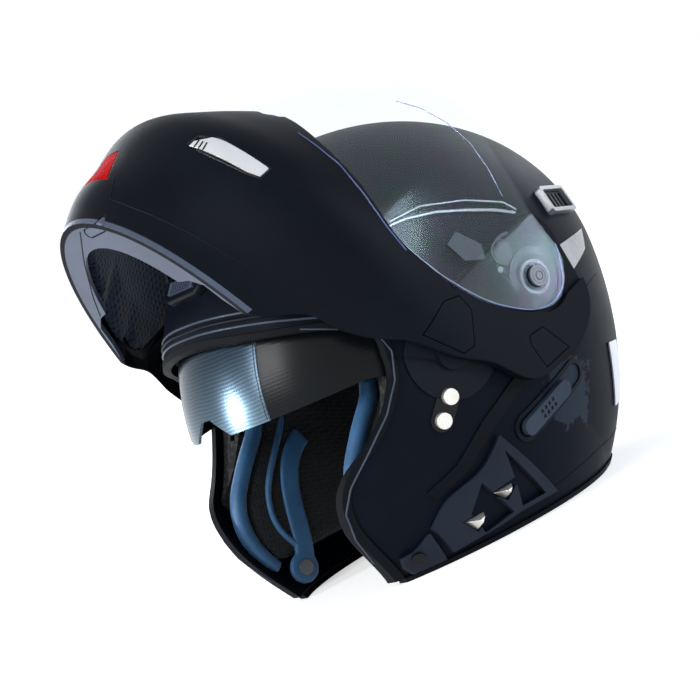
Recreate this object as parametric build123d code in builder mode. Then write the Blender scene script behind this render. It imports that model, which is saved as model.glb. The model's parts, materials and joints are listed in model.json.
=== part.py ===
from build123d import *
import os
from math import atan2, degrees, radians, sqrt, tan

os.makedirs("parts", exist_ok=True)

# Modular motorcycle helmet, in millimetres.
# +X is the wearer's left, -Y is forward and +Z is up. The bottom seal stands on the plane z = 0.
# The chin bar and visor are modelled in a frame whose numbers are those of the closed helmet,
# and that frame is turned up about the hinge, as the helmet is worn open.

# Outer shell: a crown ball drawn deeper below its middle, joined to a longer jaw ball
shell_half_width = 124.5
shell_half_length = 143.5
crown_rise = 123.5
skirt_depth = 180.5
crown_y = 23.3
crown_z = 133.0
jaw_half_width = 119.5
jaw_half_length = 158.0
jaw_back_length = 134.0
jaw_rise = 100.0
jaw_depth = 160.0
jaw_y = 15.0
jaw_z = 105.0
shell_wall = 3.6
helmet_height = crown_z + crown_rise

# Clearances and cuts
overrun = 40.0
seat_gap = 0.3
part_line = 0.5
running_gap = 0.05
bottom_seal_height = 3.0
trim_proud = 1.2
trim_width = 4.0

# Chin bar hinge, seen from the side, and how far the bar stands open
hinge_y = 14.25
hinge_z = 123.5
open_angle = 74.0
hinge_pin_radius = 8.0
hinge_pin_grip = 1.9

# Chin bar: a bowed body whose flat arms lie outside the shell
arm_gap = 0.8
arm_floor = 2.9
arm_wall = 6.9
arm_front_y = -14.0
chin_wall = 3.5
chin_front_y = -185.0
chin_shoulder_y = -18.0
chin_back_y = 90.0
chin_hollow_y = -64.0
chin_corner_y = -74.0
chin_corner_z = 17.0
chin_low_y = -200.0
chin_low_z = 2.0
chin_swing_radius = 171.0
rim_band_height = 3.0
rim_band_width = 20.0
cover_depth = 1.6
arm_inside = shell_half_width + arm_gap
arm_face = arm_inside + arm_wall

# Visor: a thin bowed sheet with a flat ear round each pivot
visor_y = 16.15
visor_z = 153.9
visor_thickness = 2.2
visor_bow = 141.0
visor_bow_z = 125.0
visor_bow_height = 129.0
visor_shoulder_y = -12.0
visor_edge_gap = 1.5
visor_ear_radius = 20.0
visor_knob_radius = 6.5
visor_knob_height = 1.8
visor_boss_radius = 4.0
visor_boss_height = 2.0
visor_inside = arm_inside + arm_floor + seat_gap
visor_outside = visor_inside + visor_thickness

# Sun visor: a thin ball slice that turns about its own pivots, inside the shell
sun_visor_radius = 147.0
sun_visor_half_width = 110.0
sun_visor_thickness = 2.0
sun_visor_y = 24.7
sun_visor_z = 105.0
sun_visor_gap = 1.5
sun_visor_ear_radius = 11.0
sun_visor_arm_x = 98.0
sun_visor_pin_radius = 4.0
notch_half_top = 5.0
notch_half_base = 20.0
notch_rise = 12.0

# Liner and head space
head_half_width = 88.0
head_half_length = 106.0
head_rise = 98.0
head_y = 24.0
head_z = 120.0
passage_half_width = 84.0
passage_half_height = 70.0
passage_z = 95.0
comfort_thickness = 8.0
comfort_low_z = 122.0
cheek_thickness = 22.0
liner_low_z = 22.0
liner_setback = 3.0
roll_radius = 5.0

# Panels, plates and small parts on the shell
cover_proud = 3.0
disc_y = -23.2
disc_z = 112.0
disc_radius = 27.0
disc_boss_radius = 9.5
disc_boss_height = 4.2
pin_radius = 4.65
pin_height = 4.4
pin_places = [(-34.7, 90.3), (-43.0, 79.7)]
blade_height = 4.5
blade_gap = 1.0
blade_taper = 16.0
brow_vent_round = 2.0
screw_y = -71.0
screw_z = 13.5
screw_radius = 4.0
screw_height = 1.4
slider_y = 23.0
slider_z = 59.0
slider_length = 44.0
slider_width = 10.0
slider_height = 3.4
slider_lift = 0.5
slider_travel = 14.0
slider_tilt = 17.0
dimple_size = 2.2
dimple_pitch = 3.6
dimple_depth = 1.0
bezel_gap = 1.0
bezel_wall = 2.6
vent_y = 104.0
vent_z = 163.0
vent_length = 36.0
vent_height = 18.0
vent_proud = 3.5
vent_wall = 2.5
vent_slot_width = 2.4
vent_slot_pitch = 5.6
brow_vent_y = -92.0
brow_vent_length = 44.0
brow_vent_width = 22.0
brow_vent_height = 4.0
brow_shutter_length = 30.0
brow_shutter_width = 8.0
brow_shutter_travel = 5.0
rib_pitch = 2.4
rib_width = 1.2
rib_depth = 0.8
strap_width = 12.0
strap_thickness = 3.0
strap_tab_radius = 9.5
snap_radius = 5.0
snap_height = 2.0
button_x = 18.0
button_y = -156.5
button_length = 22.0
button_width = 6.5
button_height = 9.0
button_travel = 2.5
button_gap = 0.4
chin_pad_thickness = 12.0
chin_pad_low_z = 22.0
chin_pad_high_z = 92.0
chin_pad_back_y = -68.0
chin_panel_half_width = 30.0
latch_y = -56.0
latch_z = 90.0
latch_length = 22.0
latch_width = 9.0
latch_thickness = 3.2
latch_pin_radius = 2.0
latch_gap = 1.5
latch_inside_x = 116.5

# Outlines seen from the side: each point is a share of the shell's half length along Y
# and a share of the helmet's height along Z
face_edge_shares = [
    (-0.366, 0.550), (-0.362, 0.507), (-0.376, 0.460), (-0.425, 0.405), (-0.509, 0.345),
    (-0.585, 0.308), (-0.648, 0.281), (-0.679, 0.257), (-0.690, 0.226), (-0.686, 0.183),
    (-0.666, 0.148), (-0.606, 0.080), (-0.530, 0.000),
]
brow_edge_shares = [(-0.787, 0.682), (-0.557, 0.620), (-0.432, 0.585)]
chin_rear_edge_shares = [
    (-0.516, 0.066), (-0.444, 0.100), (-0.376, 0.143), (-0.230, 0.170), (-0.063, 0.246),
    (0.118, 0.308), (0.232, 0.365), (0.366, 0.408), (0.419, 0.452),
]
arm_top_shares = [
    (0.440, 0.551), (0.420, 0.607), (0.334, 0.677), (0.113, 0.708), (-0.009, 0.713),
    (-0.098, 0.686),
]
visor_lower_edge_shares = [
    (-1.115, 0.534), (-1.064, 0.518), (-0.856, 0.449), (-0.649, 0.414), (-0.500, 0.388),
    (-0.362, 0.375), (-0.247, 0.384), (-0.158, 0.395), (0.040, 0.448), (0.157, 0.507),
]
visor_ear_shares = [(0.217, 0.551), (0.245, 0.611), (0.187, 0.666), (0.070, 0.692)]
visor_sweep_shares = [(0.250, 0.635), (0.250, 0.780), (-1.0, 0.9), (-1.0, 0.5)]
visor_upper_edge_shares = [
    (-0.101, 0.690), (-0.348, 0.725), (-0.602, 0.795), (-0.780, 0.842), (-0.941, 0.885),
]

# Chin bar seen from above, level by level: height, half width and front reach as shares
# of the helmet's height, the arms' outer faces and the chin's front
chin_level_shares = [
    (0.000, 0.620, 0.886), (0.078, 0.660, 0.935), (0.156, 0.775, 0.965), (0.234, 0.908, 0.986),
    (0.312, 0.980, 1.000), (0.390, 0.997, 0.951), (0.468, 1.000, 0.878), (0.546, 1.000, 0.800),
    (0.624, 1.000, 0.740), (0.702, 1.000, 0.680), (0.780, 1.000, 0.620),
]
# Space that the chin bar must leave round the hinge line as it swings past the shell:
# distance from the helmet's middle as a share of the arms' inner faces, and radius as a share
chin_swing_shares = [
    (0.000, 1.000), (0.455, 0.953), (0.527, 0.924), (0.559, 0.865), (0.607, 0.813), (0.638, 0.789),
    (0.670, 0.743), (0.758, 0.655), (0.838, 0.550), (0.894, 0.480), (0.914, 0.450), (0.922, 0.401),
    (0.954, 0.386), (0.956, 0.351), (0.974, 0.310), (1.000, 0.304),
]

side_cover_shares = [
    (-0.118, 0.238), (-0.265, 0.173), (-0.404, 0.142), (-0.446, 0.101), (-0.369, 0.023),
    (-0.293, 0.027), (-0.174, 0.031), (-0.056, 0.039), (0.132, 0.039),
]
seam_shares = [
    (0.132, 0.310), (-0.108, 0.244), (-0.258, 0.183), (-0.401, 0.153), (-0.432, 0.177),
    (-0.300, 0.205), (-0.146, 0.269), (0.105, 0.339),
]
tab_shares = [(-0.460, 0.094), (-0.564, 0.074), (-0.551, 0.037), (-0.516, 0.014), (-0.397, 0.014)]
side_vent_recess_shares = [
    [(-0.096, 0.188), (0.067, 0.050), (-0.057, 0.049)],
    [(-0.225, 0.145), (-0.100, 0.047), (-0.235, 0.032), (-0.290, 0.088)],
]
blade_shares = [
    [(-0.079, 0.112), (-0.162, 0.107), (-0.122, 0.088)],
    [(-0.220, 0.080), (-0.300, 0.074), (-0.265, 0.053)],
]
badge_shares = [(0.555, 0.542), (0.830, 0.548), (0.764, 0.504), (0.573, 0.475)]
reflector_shares = [(0.697, 0.281), (0.808, 0.273), (0.780, 0.133), (0.669, 0.133)]
tongue_shares = [
    (-0.047, 0.272), (-0.093, 0.354), (-0.066, 0.395), (0.011, 0.400), (0.125, 0.350), (0.118, 0.318),
]
teardrop_shares = [(0.400, 0.467), (0.289, 0.468), (0.255, 0.480), (0.268, 0.524), (0.410, 0.550)]
chin_vent_shares = [
    (-1.136, 0.252), (-1.139, 0.268), (-1.108, 0.294), (-1.079, 0.299), (-0.889, 0.295),
    (-0.887, 0.266), (-0.930, 0.259), (-1.099, 0.254),
]
chin_badge_shares = [(-0.100, 0.128), (-0.060, 0.222), (0.060, 0.222), (0.140, 0.128)]
cheek_front_shares = [
    (-0.310, 0.450), (-0.340, 0.405), (-0.425, 0.355), (-0.500, 0.310), (-0.560, 0.265),
    (-0.585, 0.200), (-0.560, 0.140), (-0.520, 0.100),
]
cheek_back_shares = [(0.280, 0.100), (0.280, 0.450)]

strap_shares = [(-0.195, 0.355), (-0.345, 0.265), (-0.390, 0.165), (-0.425, 0.090), (-0.452, 0.064)]

# Places at which a curve is measured to draw another beside it
outline_steps = 24

# Heights at which the visor's bow is drawn
visor_level_shares = [0.33, 0.42, 0.52, 0.62, 0.72, 0.82, 0.92]


def side_outline(shares):
    """Points of a side outline, as (y, z)."""
    return [(y * shell_half_length, z * helmet_height) for y, z in shares]


def side_plane(frame, x):
    """A plane across the helmet at x, whose own axes are the frame's y and z."""
    return Plane(origin=frame.origin + frame.x_dir * x, x_dir=frame.y_dir, z_dir=frame.x_dir)


def front_plane(frame, y):
    """A plane facing forward at y, whose own axes are the frame's x and z."""
    return Plane(origin=frame.origin + frame.y_dir * y, x_dir=frame.x_dir, z_dir=-frame.y_dir)


def keep(piece, name):
    """Label a finished piece and write it."""
    piece.part.label = name
    export_step(piece.part, f"parts/{name}.step")
    print(name, round(piece.part.volume), len(piece.part.solids()), piece.part.is_valid)


def other_side(piece):
    """The same piece on the wearer's right."""
    with BuildPart() as right:
        mirror(piece.part, about=Plane.YZ)
    return right


helmet_frame = Plane.XY
hinge_axis = Axis((0, hinge_y, hinge_z), (1, 0, 0))
chin_turn = Pos(0, hinge_y, hinge_z) * Rot(X=-open_angle) * Pos(0, -hinge_y, -hinge_z)
chin_frame = Plane(chin_turn)


# Shell forms

def half_ball(half_width, half_length, height, y, z, upper, front=None):
    """A stretched ball's half above or below z, or only that half's front or back."""
    low, high = (0, 90) if upper else (-90, 0)
    with BuildPart() as lobe:
        Sphere(
            1, rotation=(0, 0, 180 if front else 0), align=None,
            arc_size1=low, arc_size2=high, arc_size3=360 if front is None else 180,
        )
        scale(by=(half_width, half_length, height))
    return Pos(0, y, z) * lobe.part


def shell_form(grow):
    """The solid inside the shell's surface, grown or shrunk by a distance, down to the floor."""
    width, length = shell_half_width + grow, shell_half_length + grow
    lobes = [
        half_ball(width, length, crown_rise + grow, crown_y, crown_z, True),
        half_ball(width, length, skirt_depth + grow, crown_y, crown_z, False),
    ]
    for front, jaw_length in ((True, jaw_half_length), (False, jaw_back_length)):
        for upper, height in ((True, jaw_rise), (False, jaw_depth)):
            sizes = (jaw_half_width + grow, jaw_length + grow, height + grow)
            lobes.append(half_ball(*sizes, jaw_y, jaw_z, upper, front))
    with BuildPart() as form:
        for lobe in lobes:
            add(lobe)
        split(bisect_by=Plane.XY, keep=Keep.TOP)
    return form.part


def shell_skin(y, z, grow=0):
    """A plane on the shell's left side, its normal pointing out and its x axis pointing back."""
    jaw_length = jaw_half_length if y < jaw_y else jaw_back_length
    lobes = [
        (shell_half_width, shell_half_length, crown_rise, skirt_depth, crown_y, crown_z),
        (jaw_half_width, jaw_length, jaw_rise, jaw_depth, jaw_y, jaw_z),
    ]
    best = None
    for width, length, rise, depth, mid_y, mid_z in lobes:
        height = rise if z > mid_z else depth
        square = 1 - ((y - mid_y) / length) ** 2 - ((z - mid_z) / height) ** 2
        if square > 0 and (best is None or width * sqrt(square) > best[0].X):
            point = Vector(width * sqrt(square), y, z)
            outward = Vector(point.X / width**2, (y - mid_y) / length**2, (z - mid_z) / height**2)
            best = (point, outward.normalized())
    point, outward = best
    backward = Vector(0, 1, 0) - outward * outward.Y
    return Plane(origin=point + outward * grow, x_dir=backward, z_dir=outward)


outer_form = shell_form(0)
inner_form = shell_form(-shell_wall)
trim_form = shell_form(trim_proud)
padding_form = shell_form(-shell_wall - seat_gap)
seat_form = shell_form(running_gap)


def beside(curve, distance):
    """Points at a distance to the left of a flat curve, evenly spaced along it."""
    points = []
    for step in range(outline_steps + 1):
        ahead = curve % (step / outline_steps)
        points.append(curve @ (step / outline_steps) + Vector(-ahead.Y, ahead.X) * distance)
    return points


def opening_outline(grow):
    """Side outline of the face opening, grown or shrunk by a distance."""
    far_front = -jaw_half_length - overrun
    with BuildSketch() as outline:
        with BuildLine():
            drawn = Spline(side_outline(brow_edge_shares + face_edge_shares), mode=Mode.PRIVATE)
            edge = Spline(beside(drawn, grow))
            start, end = edge @ 0, edge @ 1
            Polyline(end, (end.X, -overrun), (far_front, -overrun), (far_front, start.Y), start)
        make_face()
    return outline.sketch


face_opening = opening_outline(0)


# Outer shell

with BuildPart() as outer_shell:
    add(outer_form)
    add(inner_form, mode=Mode.SUBTRACT)
    split(bisect_by=Plane.XY.offset(bottom_seal_height), keep=Keep.TOP)
    with BuildSketch(side_plane(helmet_frame, 0)):
        add(face_opening)
    extrude(amount=arm_face, both=True, mode=Mode.SUBTRACT)
    with BuildSketch(Plane.YZ):
        with Locations((hinge_y, hinge_z)):
            Circle(hinge_pin_radius)
    extrude(amount=arm_face, both=True, mode=Mode.SUBTRACT)
keep(outer_shell, "outer_shell")

# Rubber bead round the face opening

with BuildSketch() as face_bead:
    add(face_opening)
    add(opening_outline(-trim_width), mode=Mode.SUBTRACT)

with BuildPart() as face_trim:
    with BuildSketch(side_plane(helmet_frame, 0)):
        add(face_bead.sketch)
    extrude(amount=arm_face, both=True)
    add(trim_form, mode=Mode.INTERSECT)
    add(inner_form, mode=Mode.SUBTRACT)
    split(bisect_by=Plane.XY.offset(bottom_seal_height), keep=Keep.TOP)
keep(face_trim, "face_trim")

# Rubber seal under the bottom rim

with BuildPart() as bottom_seal:
    add(trim_form)
    add(inner_form, mode=Mode.SUBTRACT)
    split(bisect_by=Plane.XY.offset(bottom_seal_height), keep=Keep.BOTTOM)
    with BuildSketch(side_plane(helmet_frame, 0)):
        add(face_opening)
    extrude(amount=arm_face, both=True, mode=Mode.SUBTRACT)
keep(bottom_seal, "bottom_seal")


# Chin bar

def bow_section(half_width, front_y, shoulder_y):
    """One level of a bowed body, seen from above: straight sides and a half oval front."""
    with BuildSketch() as section:
        with BuildLine():
            EllipticalCenterArc((0, shoulder_y), half_width, shoulder_y - front_y, start_angle=180, arc_size=180)
            Polyline(
                (half_width, shoulder_y), (half_width, chin_back_y),
                (-half_width, chin_back_y), (-half_width, shoulder_y),
            )
        make_face()
    return section.sketch


def bowed_body(levels):
    """A smooth solid through bowed sections, each given by its height above the closed rim."""
    with BuildPart() as body:
        for height, section in levels:
            with BuildSketch(chin_frame.offset(height)):
                add(section)
        loft()
    return body.part


def chin_form(grow):
    """The solid inside the chin bar's surface, grown or shrunk by a distance."""
    levels = []
    for height, width, front in chin_level_shares:
        section = bow_section(width * arm_face + grow, front * chin_front_y - grow, chin_shoulder_y)
        levels.append((height * helmet_height, section))
    return bowed_body(levels)


def chin_swing(grow):
    """The space swept round the hinge line inside the chin bar."""
    profile = [
        (x * arm_inside + (grow if x < 1 else 0), radius * chin_swing_radius + grow)
        for x, radius in chin_swing_shares
    ]
    mirrored = [(-x, radius) for x, radius in reversed(profile)]
    with BuildPart() as space:
        with BuildSketch(Plane.XY.move(Pos(0, hinge_y, hinge_z))):
            with BuildLine():
                Polyline((-arm_inside, 0), *mirrored, *profile[1:], (arm_inside, 0), close=True)
            make_face()
        revolve(axis=hinge_axis)
    return space.part


with BuildSketch() as visor_outline:
    with BuildLine():
        lower = side_outline(visor_lower_edge_shares)
        ear = side_outline(visor_ear_shares)
        upper = side_outline(visor_upper_edge_shares)
        Spline(lower + ear)
        Polyline(ear[-1], *upper)
        Line(upper[-1], lower[0])
    make_face()

with BuildSketch() as chin_outline:
    with BuildLine():
        rear = side_outline(chin_rear_edge_shares)
        top = side_outline(arm_top_shares)
        port = [(y, z - visor_edge_gap) for y, z in side_outline(visor_lower_edge_shares[:8])]
        Spline(rear)
        Line(rear[-1], top[0])
        Spline(top)
        Polyline(top[-1], (arm_front_y, port[-1][1] + visor_edge_gap), port[-1])
        Spline(port)
        Polyline(port[0], (chin_low_y, port[0][1]), (chin_low_y, chin_low_z), rear[0])
    make_face()

with BuildSketch() as visor_sweep:
    with BuildLine():
        Polyline((visor_y, visor_z), *side_outline(visor_sweep_shares), close=True)
    make_face()
    with Locations((visor_y, visor_z)):
        Circle(visor_ear_radius + visor_edge_gap)
    with BuildLine():
        drawn = Spline(side_outline(visor_lower_edge_shares + visor_ear_shares), mode=Mode.PRIVATE)
        edge = Spline(beside(drawn, -visor_edge_gap))
        start, end = edge @ 0, edge @ 1
        top_z = visor_sweep_shares[1][1] * helmet_height
        Polyline(end, (end.X, top_z), (start.X, top_z), start)
    make_face()

chin_body = chin_form(0)
chin_inside = chin_form(-chin_wall)
swing_space = chin_swing(0)

rim_points = [(chin_low_y, chin_low_z), (chin_corner_y, chin_corner_z)]
with BuildSketch() as rim_outline:
    with BuildLine():
        Polyline(
            rim_points[0], rim_points[1],
            (rim_points[1][0], rim_points[1][1] + rim_band_height),
            (rim_points[0][0], rim_points[0][1] + rim_band_height),
            close=True,
        )
    make_face()

with BuildPart() as chin_hollow:
    add(chin_inside)
    split(bisect_by=front_plane(chin_frame, chin_hollow_y), keep=Keep.TOP)

rim_slope = degrees(atan2(chin_corner_z - chin_low_z, chin_corner_y - chin_low_y))
button_z = chin_low_z + (button_y - chin_low_y) * tan(radians(rim_slope))
button_plane = Plane(chin_turn * Pos(button_x, button_y, button_z) * Rot(X=rim_slope))

with BuildSketch() as button_hole:
    SlotOverall(button_length + 2 * button_gap, button_width + 2 * button_gap)

with BuildPart() as chin_skin:
    add(chin_body)
    add(chin_form(-cover_depth), mode=Mode.SUBTRACT)


def chin_inlay(shares, gap, side):
    """A flush plate let into the chin bar's skin, smaller than its outline by a gap."""
    with BuildPart() as inlay:
        with BuildSketch(side_plane(chin_frame, side * passage_half_width / 2)):
            with BuildLine():
                Polyline(*side_outline(shares), close=True)
            make_face()
            if gap:
                offset(amount=-gap)
        extrude(amount=side * arm_face)
        add(chin_skin.part, mode=Mode.INTERSECT)
    return inlay


def chin_badge_inlay(gap):
    """A flush plate at the very front of the chin bar, drawn as seen from the front."""
    with BuildPart() as inlay:
        with BuildSketch(front_plane(chin_frame, chin_shoulder_y)):
            with BuildLine():
                Polyline(*side_outline(chin_badge_shares), close=True)
            make_face()
            if gap:
                offset(amount=-gap)
        extrude(amount=-chin_low_y)
        add(chin_skin.part, mode=Mode.INTERSECT)
    return inlay


inlay_shares = [tongue_shares, teardrop_shares, chin_vent_shares]
pockets = [chin_inlay(shares, 0, side).part for shares in inlay_shares for side in (1, -1)]
pockets.append(chin_badge_inlay(0).part)

with BuildPart() as chin_bar_shell:
    with BuildSketch(side_plane(chin_frame, 0)):
        add(chin_outline.sketch)
        add(rim_outline.sketch, mode=Mode.SUBTRACT)
    extrude(amount=arm_face, both=True)
    add(chin_body, mode=Mode.INTERSECT)
    add(chin_hollow.part, mode=Mode.SUBTRACT)
    add(swing_space, mode=Mode.SUBTRACT)
    for pocket in pockets:
        add(pocket, mode=Mode.SUBTRACT)
    with BuildSketch(button_plane):
        add(button_hole.sketch)
    extrude(amount=button_height + button_travel + button_gap, mode=Mode.SUBTRACT)
    for side in (1, -1):
        with BuildSketch(side_plane(chin_frame, side * (arm_inside + arm_floor))):
            add(visor_sweep.sketch)
        extrude(amount=side * overrun, mode=Mode.SUBTRACT)
        with BuildSketch(side_plane(chin_frame, side * arm_inside)):
            with Locations((hinge_y, hinge_z)):
                Circle(hinge_pin_radius + running_gap)
        extrude(amount=side * (hinge_pin_grip + seat_gap), mode=Mode.SUBTRACT)
        with BuildSketch(side_plane(chin_frame, side * (visor_inside - seat_gap))):
            with Locations((visor_y, visor_z)):
                Circle(visor_boss_radius + running_gap)
        extrude(amount=-side * visor_boss_height, mode=Mode.SUBTRACT)
        with BuildSketch(side_plane(chin_frame, side * (latch_inside_x - overrun))):
            with Locations((latch_y, latch_z)):
                RectangleRounded(latch_width + 4 * latch_gap, latch_length + 2 * latch_gap, latch_gap)
        extrude(amount=side * (overrun + latch_thickness + seat_gap), mode=Mode.SUBTRACT)
keep(chin_bar_shell, "chin_bar_shell")

with BuildPart() as rim_band:
    with BuildSketch(side_plane(chin_frame, 0)):
        add(rim_outline.sketch)
    extrude(amount=arm_face, both=True)
    add(chin_body, mode=Mode.INTERSECT)
    add(chin_form(-rim_band_width), mode=Mode.SUBTRACT)
    add(swing_space, mode=Mode.SUBTRACT)
    with BuildSketch(button_plane.offset(-overrun)):
        add(button_hole.sketch)
    extrude(amount=overrun + button_height, mode=Mode.SUBTRACT)
keep(rim_band, "rim_band")

with BuildPart() as release_button:
    with BuildSketch(button_plane):
        SlotOverall(button_length, button_width)
    extrude(amount=button_height)
    button_face = release_button.faces().sort_by(Axis(button_plane.origin, button_plane.z_dir))[0]
    fillet(button_face.edges(), rib_width)
keep(release_button, "release_button")

for name, side in (("latch_left", 1), ("latch_right", -1)):
    with BuildPart() as latch:
        with BuildSketch(side_plane(chin_frame, side * latch_inside_x)):
            with Locations((latch_y, latch_z)):
                SlotOverall(latch_length - 2 * latch_gap, latch_width, rotation=90)
                Circle(latch_pin_radius + running_gap, mode=Mode.SUBTRACT)
        extrude(amount=side * latch_thickness)
    keep(latch, name)

with BuildPart() as latch_pins:
    for side in (1, -1):
        with BuildSketch(side_plane(chin_frame, side * latch_inside_x)):
            with Locations((latch_y, latch_z)):
                Circle(latch_pin_radius)
        extrude(amount=side * (latch_thickness + seat_gap))
keep(latch_pins, "latch_pins")

for stem, shares in zip(("tongue_cover", "hinge_cover", "chin_vent"), inlay_shares):
    keep(chin_inlay(shares, part_line, 1), f"{stem}_left")
    keep(chin_inlay(shares, part_line, -1), f"{stem}_right")

keep(chin_badge_inlay(part_line), "chin_badge")

pad_outer = chin_form(-chin_wall - seat_gap)
pad_inner = chin_form(-chin_wall - chin_pad_thickness)
pad_space = chin_swing(seat_gap)


def chin_pad(low_x, high_x):
    """Padding behind the chin bar's wall, between two distances from the helmet's middle."""
    with BuildPart() as pad:
        with BuildSketch(side_plane(chin_frame, low_x)):
            with BuildLine():
                Polyline(
                    (chin_low_y, chin_pad_low_z), (chin_pad_back_y, chin_pad_low_z),
                    (chin_pad_back_y, chin_pad_high_z), (chin_low_y, chin_pad_high_z), close=True,
                )
            make_face()
        extrude(amount=high_x - low_x)
        add(pad_outer, mode=Mode.INTERSECT)
        add(pad_inner, mode=Mode.SUBTRACT)
        add(pad_space, mode=Mode.SUBTRACT)
    return pad


keep(chin_pad(chin_panel_half_width + seat_gap, arm_face), "chin_pad_left")
keep(chin_pad(-chin_panel_half_width - seat_gap, -arm_face), "chin_pad_right")
keep(chin_pad(-chin_panel_half_width, chin_panel_half_width), "chin_panel")


# Clear visor

def visor_form(half_width, inset):
    """The solid inside a visor surface, bowed less towards its top and bottom."""
    levels = []
    for share in visor_level_shares:
        height = share * helmet_height
        reach = (visor_bow - inset) * sqrt(1 - ((height - visor_bow_z) / (visor_bow_height - inset)) ** 2)
        levels.append((height, bow_section(half_width, visor_shoulder_y - reach, visor_shoulder_y)))
    return bowed_body(levels)


visor_outer = visor_form(visor_outside, 0)
visor_inner = visor_form(visor_inside, visor_thickness)

with BuildPart() as visor:
    with BuildSketch(side_plane(chin_frame, 0)):
        add(visor_outline.sketch)
    extrude(amount=arm_face, both=True)
    add(visor_outer, mode=Mode.INTERSECT)
    add(visor_inner, mode=Mode.SUBTRACT)
    with BuildSketch(side_plane(chin_frame, 0)):
        with Locations((visor_y, visor_z)):
            Circle(visor_boss_radius)
    extrude(amount=arm_face, both=True, mode=Mode.SUBTRACT)
keep(visor, "visor")

with BuildPart() as visor_knobs:
    for side in (1, -1):
        with BuildSketch(side_plane(chin_frame, side * visor_outside)):
            with Locations((visor_y, visor_z)):
                Circle(visor_knob_radius)
        extrude(amount=side * visor_knob_height)
        with BuildSketch(side_plane(chin_frame, side * visor_outside)):
            with Locations((visor_y, visor_z)):
                Circle(visor_boss_radius)
        extrude(amount=-side * (visor_thickness + visor_boss_height))
keep(visor_knobs, "visor_knobs")


# Sun visor

def spheroid(half_width, radius):
    """A ball stretched along X, centred on the sun visor's pivot line."""
    with BuildPart() as ball:
        Sphere(1, rotation=(0, 0, 90))
        scale(by=(half_width, radius, radius))
    return Pos(0, sun_visor_y, sun_visor_z) * ball.part


# Side outline of the sun visor from its pivot, as shares of its radius
sun_visor_shares = [
    (0.0, -0.075), (-0.60, 0.085), (-1.05, 0.085), (-1.05, 0.735), (-0.50, 0.36), (0.0, 0.075),
]

def about_sun_pivot(shares):
    """Side points given as shares of the sun visor's radius, measured from its pivot."""
    return [(sun_visor_y + y * sun_visor_radius, sun_visor_z + z * sun_visor_radius) for y, z in shares]


sun_visor_outer = spheroid(sun_visor_half_width, sun_visor_radius)
sun_visor_inner = spheroid(sun_visor_half_width - sun_visor_thickness, sun_visor_radius - sun_visor_thickness)

with BuildPart() as sun_visor:
    with BuildSketch(Plane.YZ):
        with BuildLine():
            Polyline(*about_sun_pivot(sun_visor_shares), close=True)
        make_face()
        with Locations((sun_visor_y, sun_visor_z)):
            Circle(sun_visor_ear_radius)
    extrude(amount=sun_visor_half_width, both=True)
    add(sun_visor_outer, mode=Mode.INTERSECT)
    add(sun_visor_inner, mode=Mode.SUBTRACT)
    notch_z = sun_visor_z + sun_visor_shares[2][1] * sun_visor_radius
    with BuildSketch(front_plane(helmet_frame, -sun_visor_radius)):
        with BuildLine():
            Polyline(
                (-notch_half_base, notch_z), (-notch_half_top, notch_z + notch_rise),
                (notch_half_top, notch_z + notch_rise), (notch_half_base, notch_z), close=True,
            )
        make_face()
    extrude(amount=-sun_visor_radius / 2, mode=Mode.SUBTRACT)
    with BuildSketch(Plane.YZ):
        with Locations((sun_visor_y, sun_visor_z)):
            Circle(sun_visor_pin_radius + running_gap)
    extrude(amount=sun_visor_half_width, both=True, mode=Mode.SUBTRACT)
keep(sun_visor, "sun_visor")


# Liner and pads

def head_form(grow):
    """The space for the head and neck and, ahead of it, for the face, open at the bottom."""
    width, length = head_half_width + grow, head_half_length + grow
    passage = passage_half_width + grow
    crown = half_ball(width, length, head_rise + grow, head_y, head_z, True)
    with BuildPart() as form:
        add(crown)
        with BuildSketch(Plane.XY.offset(head_z)):
            with Locations((0, head_y)):
                Ellipse(width, length)
        extrude(amount=-head_z - overrun)
        with BuildSketch(front_plane(helmet_frame, head_y)):
            with Locations((0, passage_z)):
                Ellipse(passage, passage_half_height + grow)
            with Locations((0, 0)):
                Rectangle(2 * passage, 2 * passage_z)
        extrude(amount=jaw_half_length + overrun)
    return form.part


head_space = head_form(0)
pocket_outer = spheroid(sun_visor_half_width + sun_visor_gap, sun_visor_radius + sun_visor_gap)
pocket_inner = spheroid(
    sun_visor_half_width - sun_visor_thickness - sun_visor_gap,
    sun_visor_radius - sun_visor_thickness - sun_visor_gap,
)
# Side outline of the pocket that the sun visor is drawn up into, as shares of its radius
pocket_shares = [(0.10, -0.11), (-0.60, 0.00), (-1.10, 0.00), (-1.10, 1.05), (-0.28, 1.05), (0.10, 0.11)]

with BuildPart() as visor_pocket:
    with BuildSketch(Plane.YZ):
        with BuildLine():
            Polyline(*about_sun_pivot(pocket_shares), close=True)
        make_face()
    extrude(amount=sun_visor_half_width + sun_visor_gap, both=True)
    add(pocket_outer, mode=Mode.INTERSECT)
    add(pocket_inner, mode=Mode.SUBTRACT)

with BuildPart() as foam_liner:
    add(inner_form)
    add(head_space, mode=Mode.SUBTRACT)
    split(bisect_by=Plane.XY.offset(liner_low_z), keep=Keep.TOP)
    with BuildSketch(side_plane(helmet_frame, 0)):
        add(opening_outline(liner_setback))
    extrude(amount=arm_face, both=True, mode=Mode.SUBTRACT)
    add(visor_pocket.part, mode=Mode.SUBTRACT)
    with BuildSketch(Plane.YZ):
        with Locations((sun_visor_y, sun_visor_z)):
            Circle(sun_visor_ear_radius + sun_visor_gap)
    extrude(amount=arm_face, both=True, mode=Mode.SUBTRACT)
keep(foam_liner, "foam_liner")

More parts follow.
